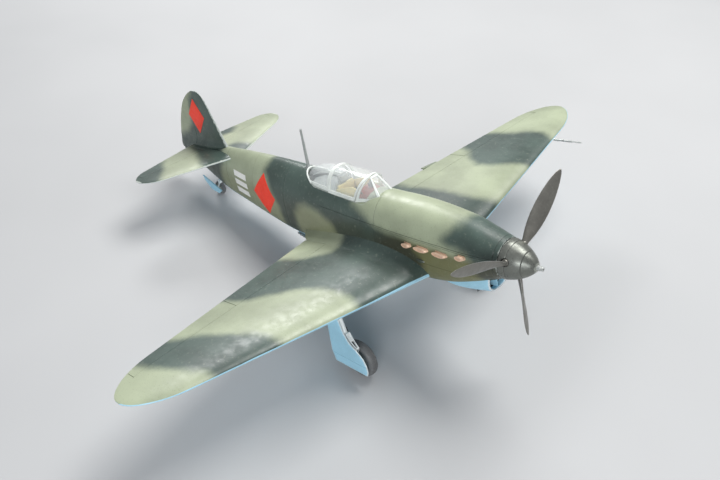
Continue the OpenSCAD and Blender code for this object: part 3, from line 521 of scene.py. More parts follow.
def hull_camo(s, z, side):
    """Signed distance into the dark paint on a fuselage side (positive is dark)."""
    if side < 0:
        dark = [
            [(-9, 30), (22.5, 30), (23.5, 10), (26, 8.5), (27, 6.5), (28.5, 4), (26, 3), (20, 2.2),
             (18, 0), (19, -4), (14, -8), (-9, -10)],
            [(68, 30), (67.5, 5.5), (62, 3.2), (56.5, 0.8), (50, 0.2), (45.5, 0.2), (41, -1), (38, -4),
             (37, -8), (40, -12), (44, -24), (76, -24), (76, -9), (79, -4.5), (84, -1.8), (92, -0.8),
             (96, -2.5), (98.5, -6), (99, -24), (108, -24), (107.5, -11), (108.5, -6), (112, -1.5),
             (114.5, 2.5), (117, 5), (116, 9), (115.5, 30)],
            [(147, 30), (148, 5), (146.5, 1), (149, -4), (152, -24), (195, -24), (195, 30)],
        ]
    else:
        dark = [
            [(-9, 30), (22.5, 30), (24, 9), (30, 6), (33, 0), (28, -6), (18, -9), (-9, -10)],
            [(68, 30), (67, 6), (60, 2), (57, -6), (50, -12), (46, -24), (84, -24), (80, -10),
             (86, -4), (96, -3), (104, -10), (108, -24), (122, -24), (117, -6), (118, 3), (116, 9),
             (115.5, 30)],
            [(147, 30), (148, 5), (143, 0), (146, -6), (152, -24), (195, -24), (195, 30)],
        ]
    return union([inside(p, s, z) for p in dark])


def build_hull(side):
    rows_at = [11.3, 57.0, 104.0, 124.0, 143.5]
    s = np.unique(np.concatenate([
        knots(NOSE_S, END_S, 0.85, rows_at, 0.12),
        [56.2, 56.3, 56.4, 56.5, 66.5, 86.5, 95.0, 95.15, 95.3],
    ]))
    w0 = 0.012
    v = np.concatenate([
        np.linspace(0, 1, 34)[:-1], [1 - w0, 1, 1.2, 1.5, 1.8, 2, 2 + w0],
        np.linspace(2, 3, 22)[1:-1], [3 - w0, 3, 3 + w0], np.linspace(3, 4, 30)[1:],
    ])
    v = np.unique(np.round(v, 5))
    S, V = mesh(s, v)

    def grid(d):
        d = np.broadcast_to(np.asarray(d, float), s.shape)
        za, zc = line(GUIDE_A, s), line(GUIDE_C, s)
        qo = np.minimum(hull_angle(s, SILL + 0 * s, d), hull_angle_y(s, line(OPEN_Y, s), d))
        qo = np.where((s > OPEN_FROM) & (s < OPEN_TO), qo, 0)
        qa = np.maximum(hull_angle(s, za, d), qo + 1)
        qb = np.maximum(hull_angle(s, za - 0.55, d), qa + 0.5)
        qc = hull_angle(s, zc, d)
        kn = np.stack([qo, qa, qb, qc, 180 + 0 * s], 1)
        i = np.clip(np.floor(V).astype(int), 0, 3)
        a = np.take_along_axis(kn, i, 1)
        b = np.take_along_axis(kn, i + 1, 1)
        return hull_point(S, a + (b - a) * (V - i), d[:, None])

    depth = np.zeros_like(S)
    depth = np.maximum(depth, 0.11 * on(V, 1) * window(S, 9.9, 84, 0.5))
    depth = np.maximum(depth, 0.09 * on(V, 2) * window(S, 9.9, 57.1, 0.3))
    depth = np.maximum(depth, 0.08 * on(V, 3) * window(S, 11.3, 44, 0.3))
    for x, a, b, d in [(11.3, 0, 4, 0.12), (57.0, 0, 1, 0.12), (57.0, 1, 4, 0.05), (104.0, 0, 4, 0.05),
                       (124.0, 0, 4, 0.04), (143.5, 0, 4, 0.09)]:
        depth = np.maximum(depth, d * on(S, x) * ((V >= a - 1e-6) & (V <= b + 1e-6)))
    outer = grid(0.0)
    # engraved lines: move the skin inwards, towards the axis of its section
    centre = np.stack([outer[..., 0], 0 * S, np.full_like(S, -2.0)], -1)
    n = outer - centre
    n /= np.maximum(np.linalg.norm(n, axis=-1, keepdims=True), 1e-6)
    outer = outer - n * depth[..., None]
    thick = np.interp(s, [9.9, 130, 165, 177], [1.1, 1.0, 0.6, 0.2])
    inner = grid(-thick)
    z = outer[..., 2]
    camo = hull_camo(S, z, side)
    bottom = np.broadcast_to(table(HULL, s, 4)[:, None], S.shape)
    edge = np.interp(S, [9.9, 20, 45, 100, 150, 177], [0.6, 1.2, 2.2, 2.6, 2.0, 1.2])
    blue = np.clip(0.5 + (bottom + edge - z) / 1.2, 0, 1)
    # darker towards the bottom of the fuselage, and most strongly below z 1.2 forward of station 60
    low_nose_dark = np.clip((1.2 - z) / 3, 0, 0.9) * np.clip((60 - S) / 14, 0, 1)
    olive = low_nose_dark + 0.55 * np.clip((2.0 - z) / 6, 0, 1)
    rim = ((S > OPEN_FROM) & (S < OPEN_TO)) * np.clip(1 - V * 14, 0, 1)
    wear = np.maximum(rim, 0.75 * (np.abs(S - 9.9) < 0.2)) + 0.45 * (depth > 0)
    for g in (outer, inner):
        g[..., 1] = np.maximum(g[..., 1], 0.01) * side
    p = Parts()
    p.shell(outer, inner, camo=camo, line=np.clip(depth / 0.1, 0, 1), blue=blue,
            olive=np.clip(olive, 0, 1), wear=wear)
    return p


# ---------------------------------------------------------------- fin and rudder
TAIL = 181.0
FIN = np.array([
    [-7.6, 164, 170.6], [-6.2, 163, 174.9], [-4.2, 162, TAIL - 2.6], [-1.4, 160, TAIL - 0.5],
    [1.6, 158, TAIL], [6.0, 145.8, TAIL - 0.8], [9.4, 147.4, TAIL - 2.2], [13.1, 149.1, TAIL - 3.9],
    [16.8, 150.8, TAIL - 6], [20.5, 152.5, TAIL - 8.4], [22.8, 153.6, TAIL - 10.5],
    [24.9, 154.7, TAIL - 12.9], [26.4, 155.8, TAIL - 15.1], [27.4, 157.1, TAIL - 17],
    [28.0, 158.5, TAIL - 18.6], [28.25, 159.9, TAIL - 19.9],
])


def foil(x):
    """Half thickness of the section, as a share of its thickness ratio."""
    return 5 * (0.2969 * np.sqrt(x) - 0.126 * x - 0.3516 * x**2 + 0.2843 * x**3 - 0.1015 * x**4)


def fin_edges(z):
    return np.interp(z, FIN[:, 0], FIN[:, 1]), table(FIN, z, 2)


def fin_half(z, x):
    a, b = fin_edges(z)
    t = 0.075 * (1 - 0.35 * np.maximum(z, 0) / 28)
    return 0.12 * np.sqrt(x) + t * (b - a) * foil(x)


def guided(knot_x, n, w):
    """Chord positions between guide values, with extra ones beside each guide."""
    out = []
    for i, (m, _) in enumerate(zip(n, knot_x[:-1])):
        out += list(i + (1 - np.cos(np.pi * np.linspace(0, 1, m))) / 2)
    for k in range(1, len(knot_x) - 1):
        out += [k - w, k + w]
    return np.unique(np.round(out, 5))


def map_guides(knot_x, V):
    """Chord position from the guide coordinate V."""
    i = np.clip(np.floor(V).astype(int), 0, len(knot_x) - 2)
    k = np.stack([np.broadcast_to(a, V.shape) for a in knot_x], -1)
    a = np.take_along_axis(k, i[..., None], -1)[..., 0]
    b = np.take_along_axis(k, i[..., None] + 1, -1)[..., 0]
    return a + (b - a) * (V - i)


def build_fin(p, side):
    ribs = [7.5, 12.0, 16.5, 21.0]
    z = knots(-7.6, 28.2, 0.5, ribs, 0.2)
    z = np.unique(np.concatenate([z, [27.9, 28.0, 28.1, 28.18, 28.25]]))
    v = guided([0, 0.5, 1], [16, 16], 0.02)
    Z, V = mesh(z, v)
    a, b = fin_edges(Z)
    hinge = np.clip((166.3 - a) / (b - a), 0.2, 0.9)
    X = map_guides([0 * Z, hinge, 1 + 0 * Z], V)
    S = a + X * (b - a) - 0.1 * np.clip(X * 10 - 9, 0, 1)
    top = table(HULL, np.clip(S, 10, 177), 2)
    y = fin_half(Z, X)
    flare = 1.5 * np.clip(1 - (Z - top) / 3.4, 0, 1) ** 2.2 * np.clip((S - 143) / 6, 0, 1)
    y = y + np.where(Z > top - 1.5, flare, 0) * np.clip(6 * X * (1.02 - X) + 0.15, 0, 1)
    depth = 0.16 * on(V, 1) * (Z > 4.5)
    for r in ribs:
        y = y + 0.05 * on(Z, r) * (V > 1.05) * (V < 1.9)
    y = np.maximum(y - depth, 0.02)
    outer = np.stack([-S, y * side, Z], -1)
    inner = np.stack([-S, np.full_like(Z, 0.01 * side), Z], -1)
    pale = [(163.2, 34), (163.5, 28), (166, 24), (167, 19), (168.5, 13), (172, 9), (178, 6.5), (195, 6),
            (195, 34)]
    dark = [-inside(pale, S, Z)]
    edge = np.clip(1.3 - 22 * X, 0, 1) * (Z > 4)
    edge = edge + np.clip(1 - (28.3 - Z) / 1.2, 0, 1) + np.clip((X - 0.975) * 30, 0, 0.7)
    p.shell(outer, inner, camo=union(dark), line=np.clip(depth / 0.12, 0, 1),
            wear=np.clip(edge, 0, 1))


for side, word in ((1, "left"), (-1, "right")):
    part = build_hull(side)
    build_fin(part, side)
    part.done("hull_skin_" + word, [CAMO], slot="camouflage_paint", replaces=["fuselage_" + word], angle=50)

# ---------------------------------------------------------------- wing
HALF, TIP_Y = 104.5, 87.8


def w_le(y):
    """Leading edge station at y."""
    return 35.1 + 0.1557 * y


def w_te(y):
    """Trailing edge station at y, with the fillet at the root."""
    return 91.2 - 0.2153 * y + 5.5 * np.maximum(0, 1 - (y - 8) / 5.7) ** 0.8


def w_round(y):
    """Share of the chord left by the rounded tip."""
    past = np.maximum(0, (y - TIP_Y) / (HALF - TIP_Y))
    return np.where(y <= TIP_Y, 1, np.sqrt(np.maximum(0, 1 - past ** 2.35)))


def w_s(y, x):
    """Station at chord position x, from 0 at the front to 1 at the rear."""
    m, h = (w_le(y) + w_te(y)) / 2, (w_te(y) - w_le(y)) / 2
    return m + h * w_round(y) * (2 * x - 1)


def w_thick(y):
    return (w_te(y) - w_le(y)) * w_round(y) * (0.145 + (0.09 - 0.145) * y / HALF)


def w_plane(y, s):
    """Height of the mid plane: dihedral and incidence."""
    return -12.6 + y * math.tan(math.radians(5.17)) + (62.5 - s) * math.tan(math.radians(0.76))


def w_swell(y, x):
    """Fillet that lifts the upper skin at the root."""
    return 2.9 * np.maximum(0, 1 - (y - 7) / 8.5) ** 1.7 * np.sin(np.pi * np.minimum(1, x * 1.02) ** 0.62)


def w_top(y, x):
    return 0.1 * np.sqrt(x) + 1.15 * w_thick(y) * foil(x) + w_swell(y, x)


def wing_camo(s, y, side):
    if side < 0:
        dark = [
            [(36, 60), (44, 60), (47.5, 61), (53.5, 63.5), (60.5, 69), (68, 74), (73.5, 79), (84, 84),
             (84, 98), (70.5, 92.5), (62, 89), (56, 86), (51, 82.5), (47, 82), (36, 84)],
            [(20, 36), (38, 35), (44, 34), (49, 34.5), (55.5, 36), (60, 40), (66, 46.5), (70.5, 53),
             (78.8, 57.5), (92, 62), (96, 34), (84.5, 29), (80.5, 27.5), (76, 25), (72.7, 21.5),
             (70.5, 17.5), (70.5, 13.5), (72.5, 10), (74, 7), (76, -9), (20, -9)],
        ]
    else:
        dark = [
            [(34, 62), (43, 60.5), (47, 59), (51.5, 56), (56, 53), (61.5, 51.5), (66.5, 54),
             (70, 57.5), (72.5, 60), (80, 63), (84, 75), (75.5, 75), (70.5, 76.5), (63, 77.5),
             (59.5, 79.8), (54, 82), (50, 81), (46, 79), (34, 78)],
            [(20, 37), (40.5, 35.5), (47, 32.5), (53, 31.5), (66, 31), (78, 30.5), (95, 32), (95, 20),
             (82, 17), (80, 8), (80, -9), (20, -9)],
        ]
    return union([inside(p, s, y) for p in dark])


def wing_grid():
    ylines = [13.9, 56.6, 96.0]
    y = knots(7.2, 101, 0.9, ylines, 0.14)
    y = np.unique(np.concatenate([y, HALF - 0.13 - 3.5 * np.linspace(1, 0, 16) ** 2]))
    v = guided([0, 0.5, 1], [30, 14], 0.012)
    Y, V = mesh(y, v)
    X = map_guides([0 * Y, np.interp(Y, [7, 56.6, 96, 104.5], [0.78, 0.79, 0.80, 0.80]), 1 + 0 * Y], V)
    S = w_s(Y, X)
    plane = w_plane(Y, S)
    depth = 0.17 * on(V, 1) * window(Y, 13.9, 96, 0.1)
    for yl, a, b, d in [(13.9, 1, 2, 0.14), (56.6, 1, 2, 0.17), (96.0, 1, 2, 0.17)]:
        depth = np.maximum(depth, d * on(Y, yl) * (V >= a - 1e-6))
    return Y, V, X, S, plane, depth


def build_wing(side):
    Y, V, X, S, plane, depth = wing_grid()
    z = plane + w_top(Y, X) - np.minimum(depth, w_top(Y, X) * 0.6)
    outer = np.stack([-S, Y * side, z], -1)
    inner = np.stack([-S, Y * side, plane], -1)
    le = np.clip((X - 0.99) * 70, 0, 0.6)
    blue = np.clip(1.2 - (z - plane) / (0.35 + 0.5 * np.exp(-((Y - 12) / 12) ** 2)), 0, 1) * (X < 0.15)
    root = 0.45 * np.exp(-(((Y - 13.6) / 0.35) ** 2)) * (X > 0.05)
    p = Parts()
    p.shell(outer, inner, camo=wing_camo(S, Y, side), line=np.clip(depth / 0.14, 0, 1) * 0.45,
            wear=np.clip(le + root, 0, 1), blue=blue)
    return p


for side, word in ((1, "left"), (-1, "right")):
    build_wing(side).done("wing_top_" + word, [CAMO], slot="camouflage_paint",
                          replaces=["wing_upper_" + word])

# ---------------------------------------------------------------- tailplane
SH = 35.6


def t_s(y, x):
    le, te = 139.1 + 0.412 * y, 169 - 0.116 * y
    r = np.where(y <= 28.5, 1, np.sqrt(np.maximum(0, 1 - np.maximum(0, (y - 28.5) / (SH - 28.5)) ** 2.2)))
    return (le + te) / 2 + (te - le) / 2 * r * (2 * x - 1), (te - le) * r


def build_stab(side):
    lines = [4.6, 32.6]
    y = np.unique(np.concatenate([knots(1.6, 33.5, 0.6, lines, 0.13),
                                  SH - 0.05 - 2.1 * np.linspace(1, 0, 14) ** 2]))
    v = guided([0, 0.5, 1], [18, 12], 0.02)
    Y, V = mesh(y, v)
    X = map_guides([0 * Y, np.interp(Y, [0, 36], [0.60, 0.62]), 1 + 0 * Y], V)
    S, chord = t_s(Y, X)
    half = 0.1 * np.sqrt(X) + chord * 0.075 * foil(X)
    depth = 0.16 * on(V, 1) * window(Y, 4.6, 32.6, 0.1)
    for yl in lines:
        depth = np.maximum(depth, 0.12 * on(Y, yl) * (V >= 1))
    half2 = half - np.minimum(depth, half * 0.6)
    top = np.stack([-S, Y * side, 4 + half2], -1)
    bot = np.stack([-S, Y * side, 4 - half2], -1)
    if side < 0:
        dark = [inside([(175, 18), (166, 20), (160, 22.5), (156, 26), (151, 30), (140, 34), (140, 45),
                        (180, 45)], S, Y),
                inside([(175, 3), (166, 4.5), (160, 7.5), (155, 9.5), (150, 12), (146, 14), (130, 16),
                        (130, -9), (175, -9)],
                       S, Y)]
    else:
        dark = [inside([(175, 7), (163, 8.5), (161.5, 13), (164.5, 17), (175, 19)], S, Y),
                inside([(130, -9), (151, -9), (150, 6), (144.5, 9), (130, 10)], S, Y)]
    le = np.clip(1.2 - X * 26, 0, 1) + np.clip((X - 0.97) * 40, 0, 0.8) + np.clip((Y - 34.2) / 1.0, 0, 1)
    mid = top * 0.5 + bot * 0.5
    p = Parts()
    p.shell(top, mid, camo=union(dark), line=np.clip(depth / 0.14, 0, 1), wear=np.clip(le, 0, 1))
    p.shell(bot, mid, mat=1, line=np.clip(depth / 0.14, 0, 1), wear=np.clip(le, 0, 1), blue=1)
    return p


for side, word in ((1, "left"), (-1, "right")):
    build_stab(side).done("tailplane_" + word, [CAMO, SKY], slot="camouflage_paint",
                          replaces=["stabiliser_" + word],
                          angle=60)

# ---------------------------------------------------------------- nose details
EXHAUSTS = [(21.0, 1.35, 0.6), (28.6, 2.45, -0.5), (36.0, 2.4, -0.9), (41.9, 1.4, -1.2)]


for side, word in ((1, "left"), (-1, "right")):
    p = Parts()
    q = np.linspace(0, 2 * np.pi, 40, endpoint=False)
    for s0, a, z0 in EXHAUSTS:
        w = float(hull_side(s0, z0))
        outer, inner = [], []
        for y, back, grow in [(w - 1.2, -0.2, 0.96), (w - 0.3, 0.0, 1.0), (w + 0.2, 0.2, 1.0),
                              (w + 0.6, 0.45, 1.0),
                              (w + 0.95, 0.7, 0.98), (w + 1.08, 0.8, 0.93)]:
            outer.append(np.stack([-(s0 + back + a * grow * spow(np.cos(q), 0.85)), side * y + 0 * q,
                                   z0 + 0.8 * grow * spow(np.sin(q), 0.85)], -1))
            inner.append(np.stack([-(s0 + back + (a - 0.28) * grow * spow(np.cos(q), 0.85)), side * y + 0 * q,
                                   z0 + 0.5 * grow * spow(np.sin(q), 0.85)], -1))
        o, i = np.array(outer), np.array(inner)
        wear = np.zeros(o.shape[:2])
        wear[-1] = 0.9
        p.shell(o, i, close_v=True, wear=wear)
        plug = i[4].copy()
        p.add(plug, [list(range(len(q)))[:: -side]], 0, wear=0.35)
        # shield strip along the top of the stub
        k = np.linspace(-1, 1, 9)
        up = np.stack([-(s0 + a * 0.9 * k), side * (w + 0.1 + 0 * k), z0 + 0.95 + 0 * k], -1)
        dn = up + np.array([0, side * 0.16, -0.06])
        g = np.stack([up, dn])
        p.shell(g, g - np.array([0, side * 0.12, 0.12]), mat=0, wear=0.3)
    p.done("exhausts_" + word, [COPPER, SHADE_BLACK], slot="exhaust_copper", replaces=["exhaust_stacks_" + word],
           angle=50)

p = Parts()
for side in (1, -1):
    # teardrop blisters below the exhausts
    u = np.linspace(0, 1, 16)
    q = np.linspace(-np.pi / 2, np.pi / 2, 15)
    U, Q = mesh(u, q)
    r = np.sin(np.pi * np.clip(U, 0.02, 1)) ** 0.6 * (1 - 0.35 * U)
    s = 36.1 + 3.6 * U
    z = -5.8 + 0.85 * r * np.sin(Q)
    y = np.minimum(hull_side(s, z) - 0.1 + 1.0 * r * np.cos(Q), 9.78)
    g = np.stack([-s, side * y, z], -1)
    back = g.copy()
    back[..., 1] = side * (hull_side(s, z) - 0.35)
    p.shell(g, back, camo=3.0, wear=np.clip(1.1 - 6 * U, 0, 1) * 0.9, olive=0.6)
p.done("scoops", [CAMO], slot="camouflage_paint", replaces=["breather_scoops"])

CHIN = np.array([[14.2, 4.9, -12.5, -8.4], [17, 5.2, -13.2, -9], [21, 5.3, -14.2, -10],
                 [26, 5.0, -15.2, -11.6],
                 [31, 4.2, -15.8, -13], [36, 2.6, -16.1, -14.4]])


def chin(s, q, d):
    w, zb, zm = table(CHIN, s, 1), table(CHIN, s, 2), table(CHIN, s, 3)
    return np.stack([-s, (w + d) * spow(np.cos(q), 0.85), zm + (zm - zb + d) * spow(np.sin(q), 0.85)], -1)


p = Parts()
s = np.concatenate([[14.2, 14.28, 14.45, 14.8], np.linspace(15.3, 36, 40)])
q = np.linspace(0, 2 * np.pi, 72, endpoint=False)
S, Q = mesh(s, q)
lip = np.interp(S, [14.2, 14.28, 14.45, 14.8], [-0.32, -0.18, -0.07, 0.0])
o = chin(S, Q, lip)
wall = np.interp(S, [14.2, 14.5, 26, 36], [-0.5, -0.72, -0.72, -0.3])
i = chin(S, Q, wall)
p.shell(o, i, close_v=True, wear=np.clip(1.2 - (S - 14.2) * 1.6, 0, 1))
# near-black lining inside the intake walls: painted shade for the dark interior of the mouth
keep = slice(6, 34)
p.shell(chin(S, Q, wall - 0.03)[keep], chin(S, Q, wall - 0.16)[keep], close_v=True, mat=1)
# splitter bar in the mouth
p.box((-20, -0.25, -12.9), (-15.0, 0.25, -6.5), wear=0.2)
p.done("chin_scoop", [SKY, SHADE_BLACK], slot="sky_blue_paint", replaces=["chin_intake"], angle=50)

# oil cooler mesh
p = Parts()
g = chin(*mesh([19.6, 20.6], q), -0.78)
p.add(g.reshape(-1, 3), capped(2, 72))
for k in np.arange(-4.2, 4.3, 0.55):
    p.tube([[-19.45, k, -13.2], [-19.45, k, -7.2]], 0.09, 6)
for k in np.arange(-13.3, -7.0, 0.55):
    p.tube([[-19.4, -4.1, k], [-19.4, 4.1, k]], 0.08, 6)
p.done("cooler_mesh", [BLACK], slot="cooler_core_black", replaces=["chin_cooler_core"])

# ---------------------------------------------------------------- propeller
PROP_S, PROP_R, PHASE = 7.4, 30.5, 53.0


def lathe_x(profile, n=96):
    """Surface of revolution about the thrust line from (radius, x) points."""
    pr = np.asarray(profile, float)
    q = np.linspace(0, 2 * np.pi, n, endpoint=False)
    return np.stack([np.repeat(pr[:, 1][:, None], n, 1), pr[:, :1] * np.cos(q), pr[:, :1] * np.sin(q)], -1)


def smooth_profile(pts, n=60):
    pts = np.asarray(pts, float)
    d = np.concatenate([[0], np.cumsum(np.hypot(*np.diff(pts, axis=0).T))])
    u = np.linspace(0, d[-1], n)
    tab = np.column_stack([d, pts])
    return np.column_stack([table(tab, u, 1), table(tab, u, 2)])


prof = smooth_profile([[0.8, 0], [1.2, -0.1], [2.0, -0.7], [2.95, -1.7], [3.85, -2.9], [4.7, -4.3],
                       [5.4, -5.8], [5.95, -7.4], [6.25, -8.6], [6.33, -9.28]], 70)
x = prof[:, 1]
seam = [-3.3, -7.55]
r = prof[:, 0].copy()
for k in seam:
    r[np.argmin(np.abs(x - k))] -= 0.1
outer = lathe_x(np.column_stack([r, x]))
inner = lathe_x(np.column_stack([np.maximum(prof[:, 0] - 0.95, 0.42), x - 0.25 * (prof[:, 0] < 3)]))
groove = np.zeros(outer.shape[:2])
for k in seam:
    groove[np.argmin(np.abs(x - k))] = 0.8
p = Parts()
p.shell(outer, inner, close_v=True, line=groove, wear=np.repeat(
    np.clip(1.0 - (0 - x) * 1.2, 0, 0.75)[:, None] + 0.62 * (x < -9.1)[:, None], 96, 1))
spin = p.done("spinner_shell", [SPINNER], body="propeller", slot="spinner_green", replaces=["spinner"],
              angle=40)

# round openings for the blade roots
cutters = []
for k in range(3):
    a = math.radians(PHASE + 120 * k)
    d = np.array([0, math.sin(a), math.cos(a)])
    c = Parts().tube([np.array([-PROP_S, 0, 0]) + d * 2.2, np.array([-PROP_S, 0, 0]) + d * 9], 1.28, 40)
    me = bpy.data.meshes.new("cut")
    me.from_pydata(put(np.concatenate(c.v)).tolist(), [], c.f)
    o = bpy.data.objects.new("cut", me)
    bpy.context.scene.collection.objects.link(o)
    cutters.append(o)


def carve(obj, tools):
    """Cuts the tools out of obj and removes them."""
    for t in tools:
        m = obj.modifiers.new("cut", "BOOLEAN")
        m.operation = "DIFFERENCE"
        m.solver = "EXACT"
        m.object = t
    bpy.context.view_layer.update()
    dg = bpy.context.evaluated_depsgraph_get()
    me = bpy.data.meshes.new_from_object(obj.evaluated_get(dg), preserve_all_data_layers=True, depsgraph=dg)
    obj.modifiers.clear()
    obj.data = me
    for t in tools:
        bpy.data.objects.remove(t, do_unlink=True)
    return obj


carve(spin, cutters)
spin.data.shade_smooth()
spin.data.set_sharp_from_angle(angle=math.radians(40))

BLADES = np.array([[5.2, 0.85, 1.5, 62], [7.5, 1.35, 1.35, 55], [10, 1.95, 1.2, 47],
                   [13, 2.45, 1.05, 40], [16.5, 2.75, 0.9, 34], [20, 2.75, 0.78, 29],
                   [23.5, 2.45, 0.66, 25.5], [26.5, 1.9, 0.54, 23], [28.6, 1.25, 0.42, 21.5],
                   [29.8, 0.7, 0.32, 21], [30.45, 0.22, 0.22, 20.5]])
for k in range(3):
    r = np.unique(np.concatenate([np.linspace(5.2, 28.5, 60), 30.45 - 2 * np.linspace(1, 0, 18) ** 1.7]))
    q = np.linspace(0, 2 * np.pi, 44, endpoint=False)
    R, Q = mesh(r, q)
    c, t, pitch = table(BLADES, R, 1), table(BLADES, R, 2), np.radians(table(BLADES, R, 3))
    u = c * np.cos(Q)
    v = t / 2 * np.sign(np.sin(Q)) * np.abs(np.sin(Q)) ** 1.15 * np.where(np.sin(Q) < 0, 0.5, 1.3)
    g = np.stack([u * np.sin(pitch) + v * np.cos(pitch), u * np.cos(pitch) - v * np.sin(pitch), R], -1)
    a = math.radians(-(PHASE + 120 * k))
    rot = np.array([[1, 0, 0], [0, math.cos(a), -math.sin(a)], [0, math.sin(a), math.cos(a)]])
    g = g @ rot.T + np.array([-PROP_S, 0, 0])
    wear = np.clip((np.abs(np.cos(Q)) - 0.955) * 26, 0, 0.9) + np.clip((R - 29.2) / 1.4, 0, 0.7)
    p = Parts()
    p.add(g.reshape(-1, 3), capped(len(r), 44), 0, wear=wear.ravel())
    root = np.array([[0, 0, z] for z in (2.7, 3.0, 4.6, 5.0, 5.15, 5.6, 6.1)])
    rr = [0.8, 0.86, 0.86, 1.02, 1.12, 1.12, 0.9]
    p.tube(root @ rot.T + np.array([-PROP_S, 0, 0]), rr, 32, wear=0.1)
    p.done("blade_%d" % (k + 1), [BLADE], body="propeller", slot="blade_gunmetal",
           replaces=["prop_blade_%d" % (k + 1)], angle=60)

# ---------------------------------------------------------------- canopy
HW, HT, HWALL, HF, HR, RAKE = 6.3, 14.2, 0.55, 66.8, 79.6, 0.45
AN = 2.3


def arch(w, top, z0, q, s0, lean, dy=0.0):
    """Points of an arch at station s0 that leans back by lean per unit of height."""
    a = (w + dy) * spow(np.cos(q), 2 / AN)
    b = (top - z0 + dy) * spow(np.sin(q), 2 / AN)
    return np.stack([-(s0 - lean * b), a, z0 + b], -1)


def arch_grid(sections, u, q, dy=0.0):
    """Grid through (station, width, top, lean) sections at even steps of u in 0..1 and angles q."""
    sec = np.asarray(sections, float)
    tab = np.column_stack([np.linspace(0, 1, len(sec)), sec])
    U, Q = mesh(u, q)
    s0, w, top, lean = (table(tab, U, c) for c in (1, 2, 3, 4)) if len(sec) > 2 else (
        np.interp(U, [0, 1], sec[:, c]) for c in range(4))
    return arch(w, top, SILL + 0.2 if len(sec) == 2 else SILL + 0.04, Q, s0, lean, dy)


def strip(p, sections, u, q, out=0.10, inn=-0.62, mat=0, **att):
    """Band of the arched surface between an outer and an inner offset."""
    o, i = arch_grid(sections, u, q, out), arch_grid(sections, u, q, inn)
    p.shell(o, i, mat=mat, **att)


Q_ALL = np.linspace(0, np.pi, 73)
hood = [(HF, HW, HT, RAKE), (HR, HW, HT, 0.0)]
L = HR - HF
p = Parts()
u = np.linspace(0.02, 0.98, 30)
p.shell(arch_grid(hood, u, Q_ALL, -0.08), arch_grid(hood, u, Q_ALL, -0.48))
p.done("hood_glass", [GLASS], body="hood", slot="clear_canopy", replaces=["canopy_hood"], angle=60)
p = Parts()
strip(p, hood, np.linspace(0, 0.8 / L, 4), Q_ALL, -0.002, -0.53, wear=0.3)
strip(p, hood, np.linspace(1 - 0.9 / L, 1, 4), Q_ALL, -0.002, -0.53, wear=0.3)
for a, b in ((0, 0.12), (math.pi - 0.12, math.pi)):
    strip(p, hood, np.linspace(0, 1, 24), np.linspace(a, b, 5), -0.004, -0.53, wear=0.35)
p.done("hood_frame", [FRAME], body="hood", slot="clear_canopy", angle=50)

rear = [(79.9, 5.4, 13.3, 0), (83, 5.35, 13.1, 0), (86, 5.2, 12.7, 0), (89, 4.95, 12.1, 0),
        (92, 4.5, 11.2, 0),
        (95.6, 3.6, 9.3, 0)]


def closed_rear(u, q, dy):
    """Rear glazing that curves down to the spine at its end."""
    g = arch_grid(rear, u, q, dy)
    S = -g[..., 0]
    shrink = np.sqrt(np.clip(1 - np.clip((S - 83) / 12.45, 0, 1) ** 5, 0.0, 1))
    g[..., 1] *= shrink
    g[..., 2] = SILL - 0.5 + (g[..., 2] - SILL + 0.5) * (0.25 + 0.75 * shrink)
    return g


u_all = np.concatenate([np.linspace(0, 0.8, 40), np.linspace(0.81, 0.985, 30)])
p = Parts()
p.shell(closed_rear(u_all, Q_ALL, -0.06), closed_rear(u_all, Q_ALL, -0.42))
p.done("rear_glass", [GLASS], slot="clear_canopy", replaces=["rear_glazing"], angle=60)
p = Parts()
u = np.linspace(0, 0.06, 5)
p.shell(closed_rear(u, Q_ALL, 0.0), closed_rear(u, Q_ALL, -0.5), wear=0.3)
for a, b in ((0, 0.17), (math.pi - 0.17, math.pi)):
    q = np.linspace(a, b, 5)
    p.shell(closed_rear(u_all, q, 0.02), closed_rear(u_all, q, -0.5), wear=0.35)
# rounded end of the frame, along the rear edge of the opening
end_y = 5.0 * np.sin(np.linspace(-np.pi / 2, np.pi / 2, 41))
end_s = 95.2 - 0.127 * np.abs(end_y) ** 2.33
p.tube(np.stack([-end_s, end_y, skin_z(end_s, end_y) + 0.02], -1), [0.3] * 41, 12, wear=0.3)
p.done("rear_frame", [FRAME], slot="clear_canopy", angle=50)

# windscreen: flat front pane, raked side panes running into an arch
FRONT = HF - 0.25
A0, A1 = np.array([-56.8, 3.45, 7.6]), np.array([-62.4, 1.5, 14.4])


def screen_side(u, v, d):
    """Side pane on the port side: u from the front edge to the arch, v from sill to top."""
    U, V = mesh(u, v)
    front = A0 + (A1 - A0) * V[..., None]
    q = V * math.radians(82)
    back = arch(HW, HT, SILL + 0.04, q, FRONT, RAKE, 0.0)
    g = front * (1 - U[..., None]) + back * U[..., None]
    bulge = 0.35 * np.sin(np.pi * U) * np.sin(np.pi * np.clip(V, 0, 1))
    n = np.array([0.25, 0.88, 0.4])
    return g + n * (bulge + d)[..., None]


def lay(p, grid_out, grid_in, side, **kw):
    """Shell from port-side grids, mirrored to starboard when side is -1."""
    a, b = grid_out.copy(), grid_in.copy()
    a[..., 1] *= side
    b[..., 1] *= side
    p.shell(a, b, **kw)


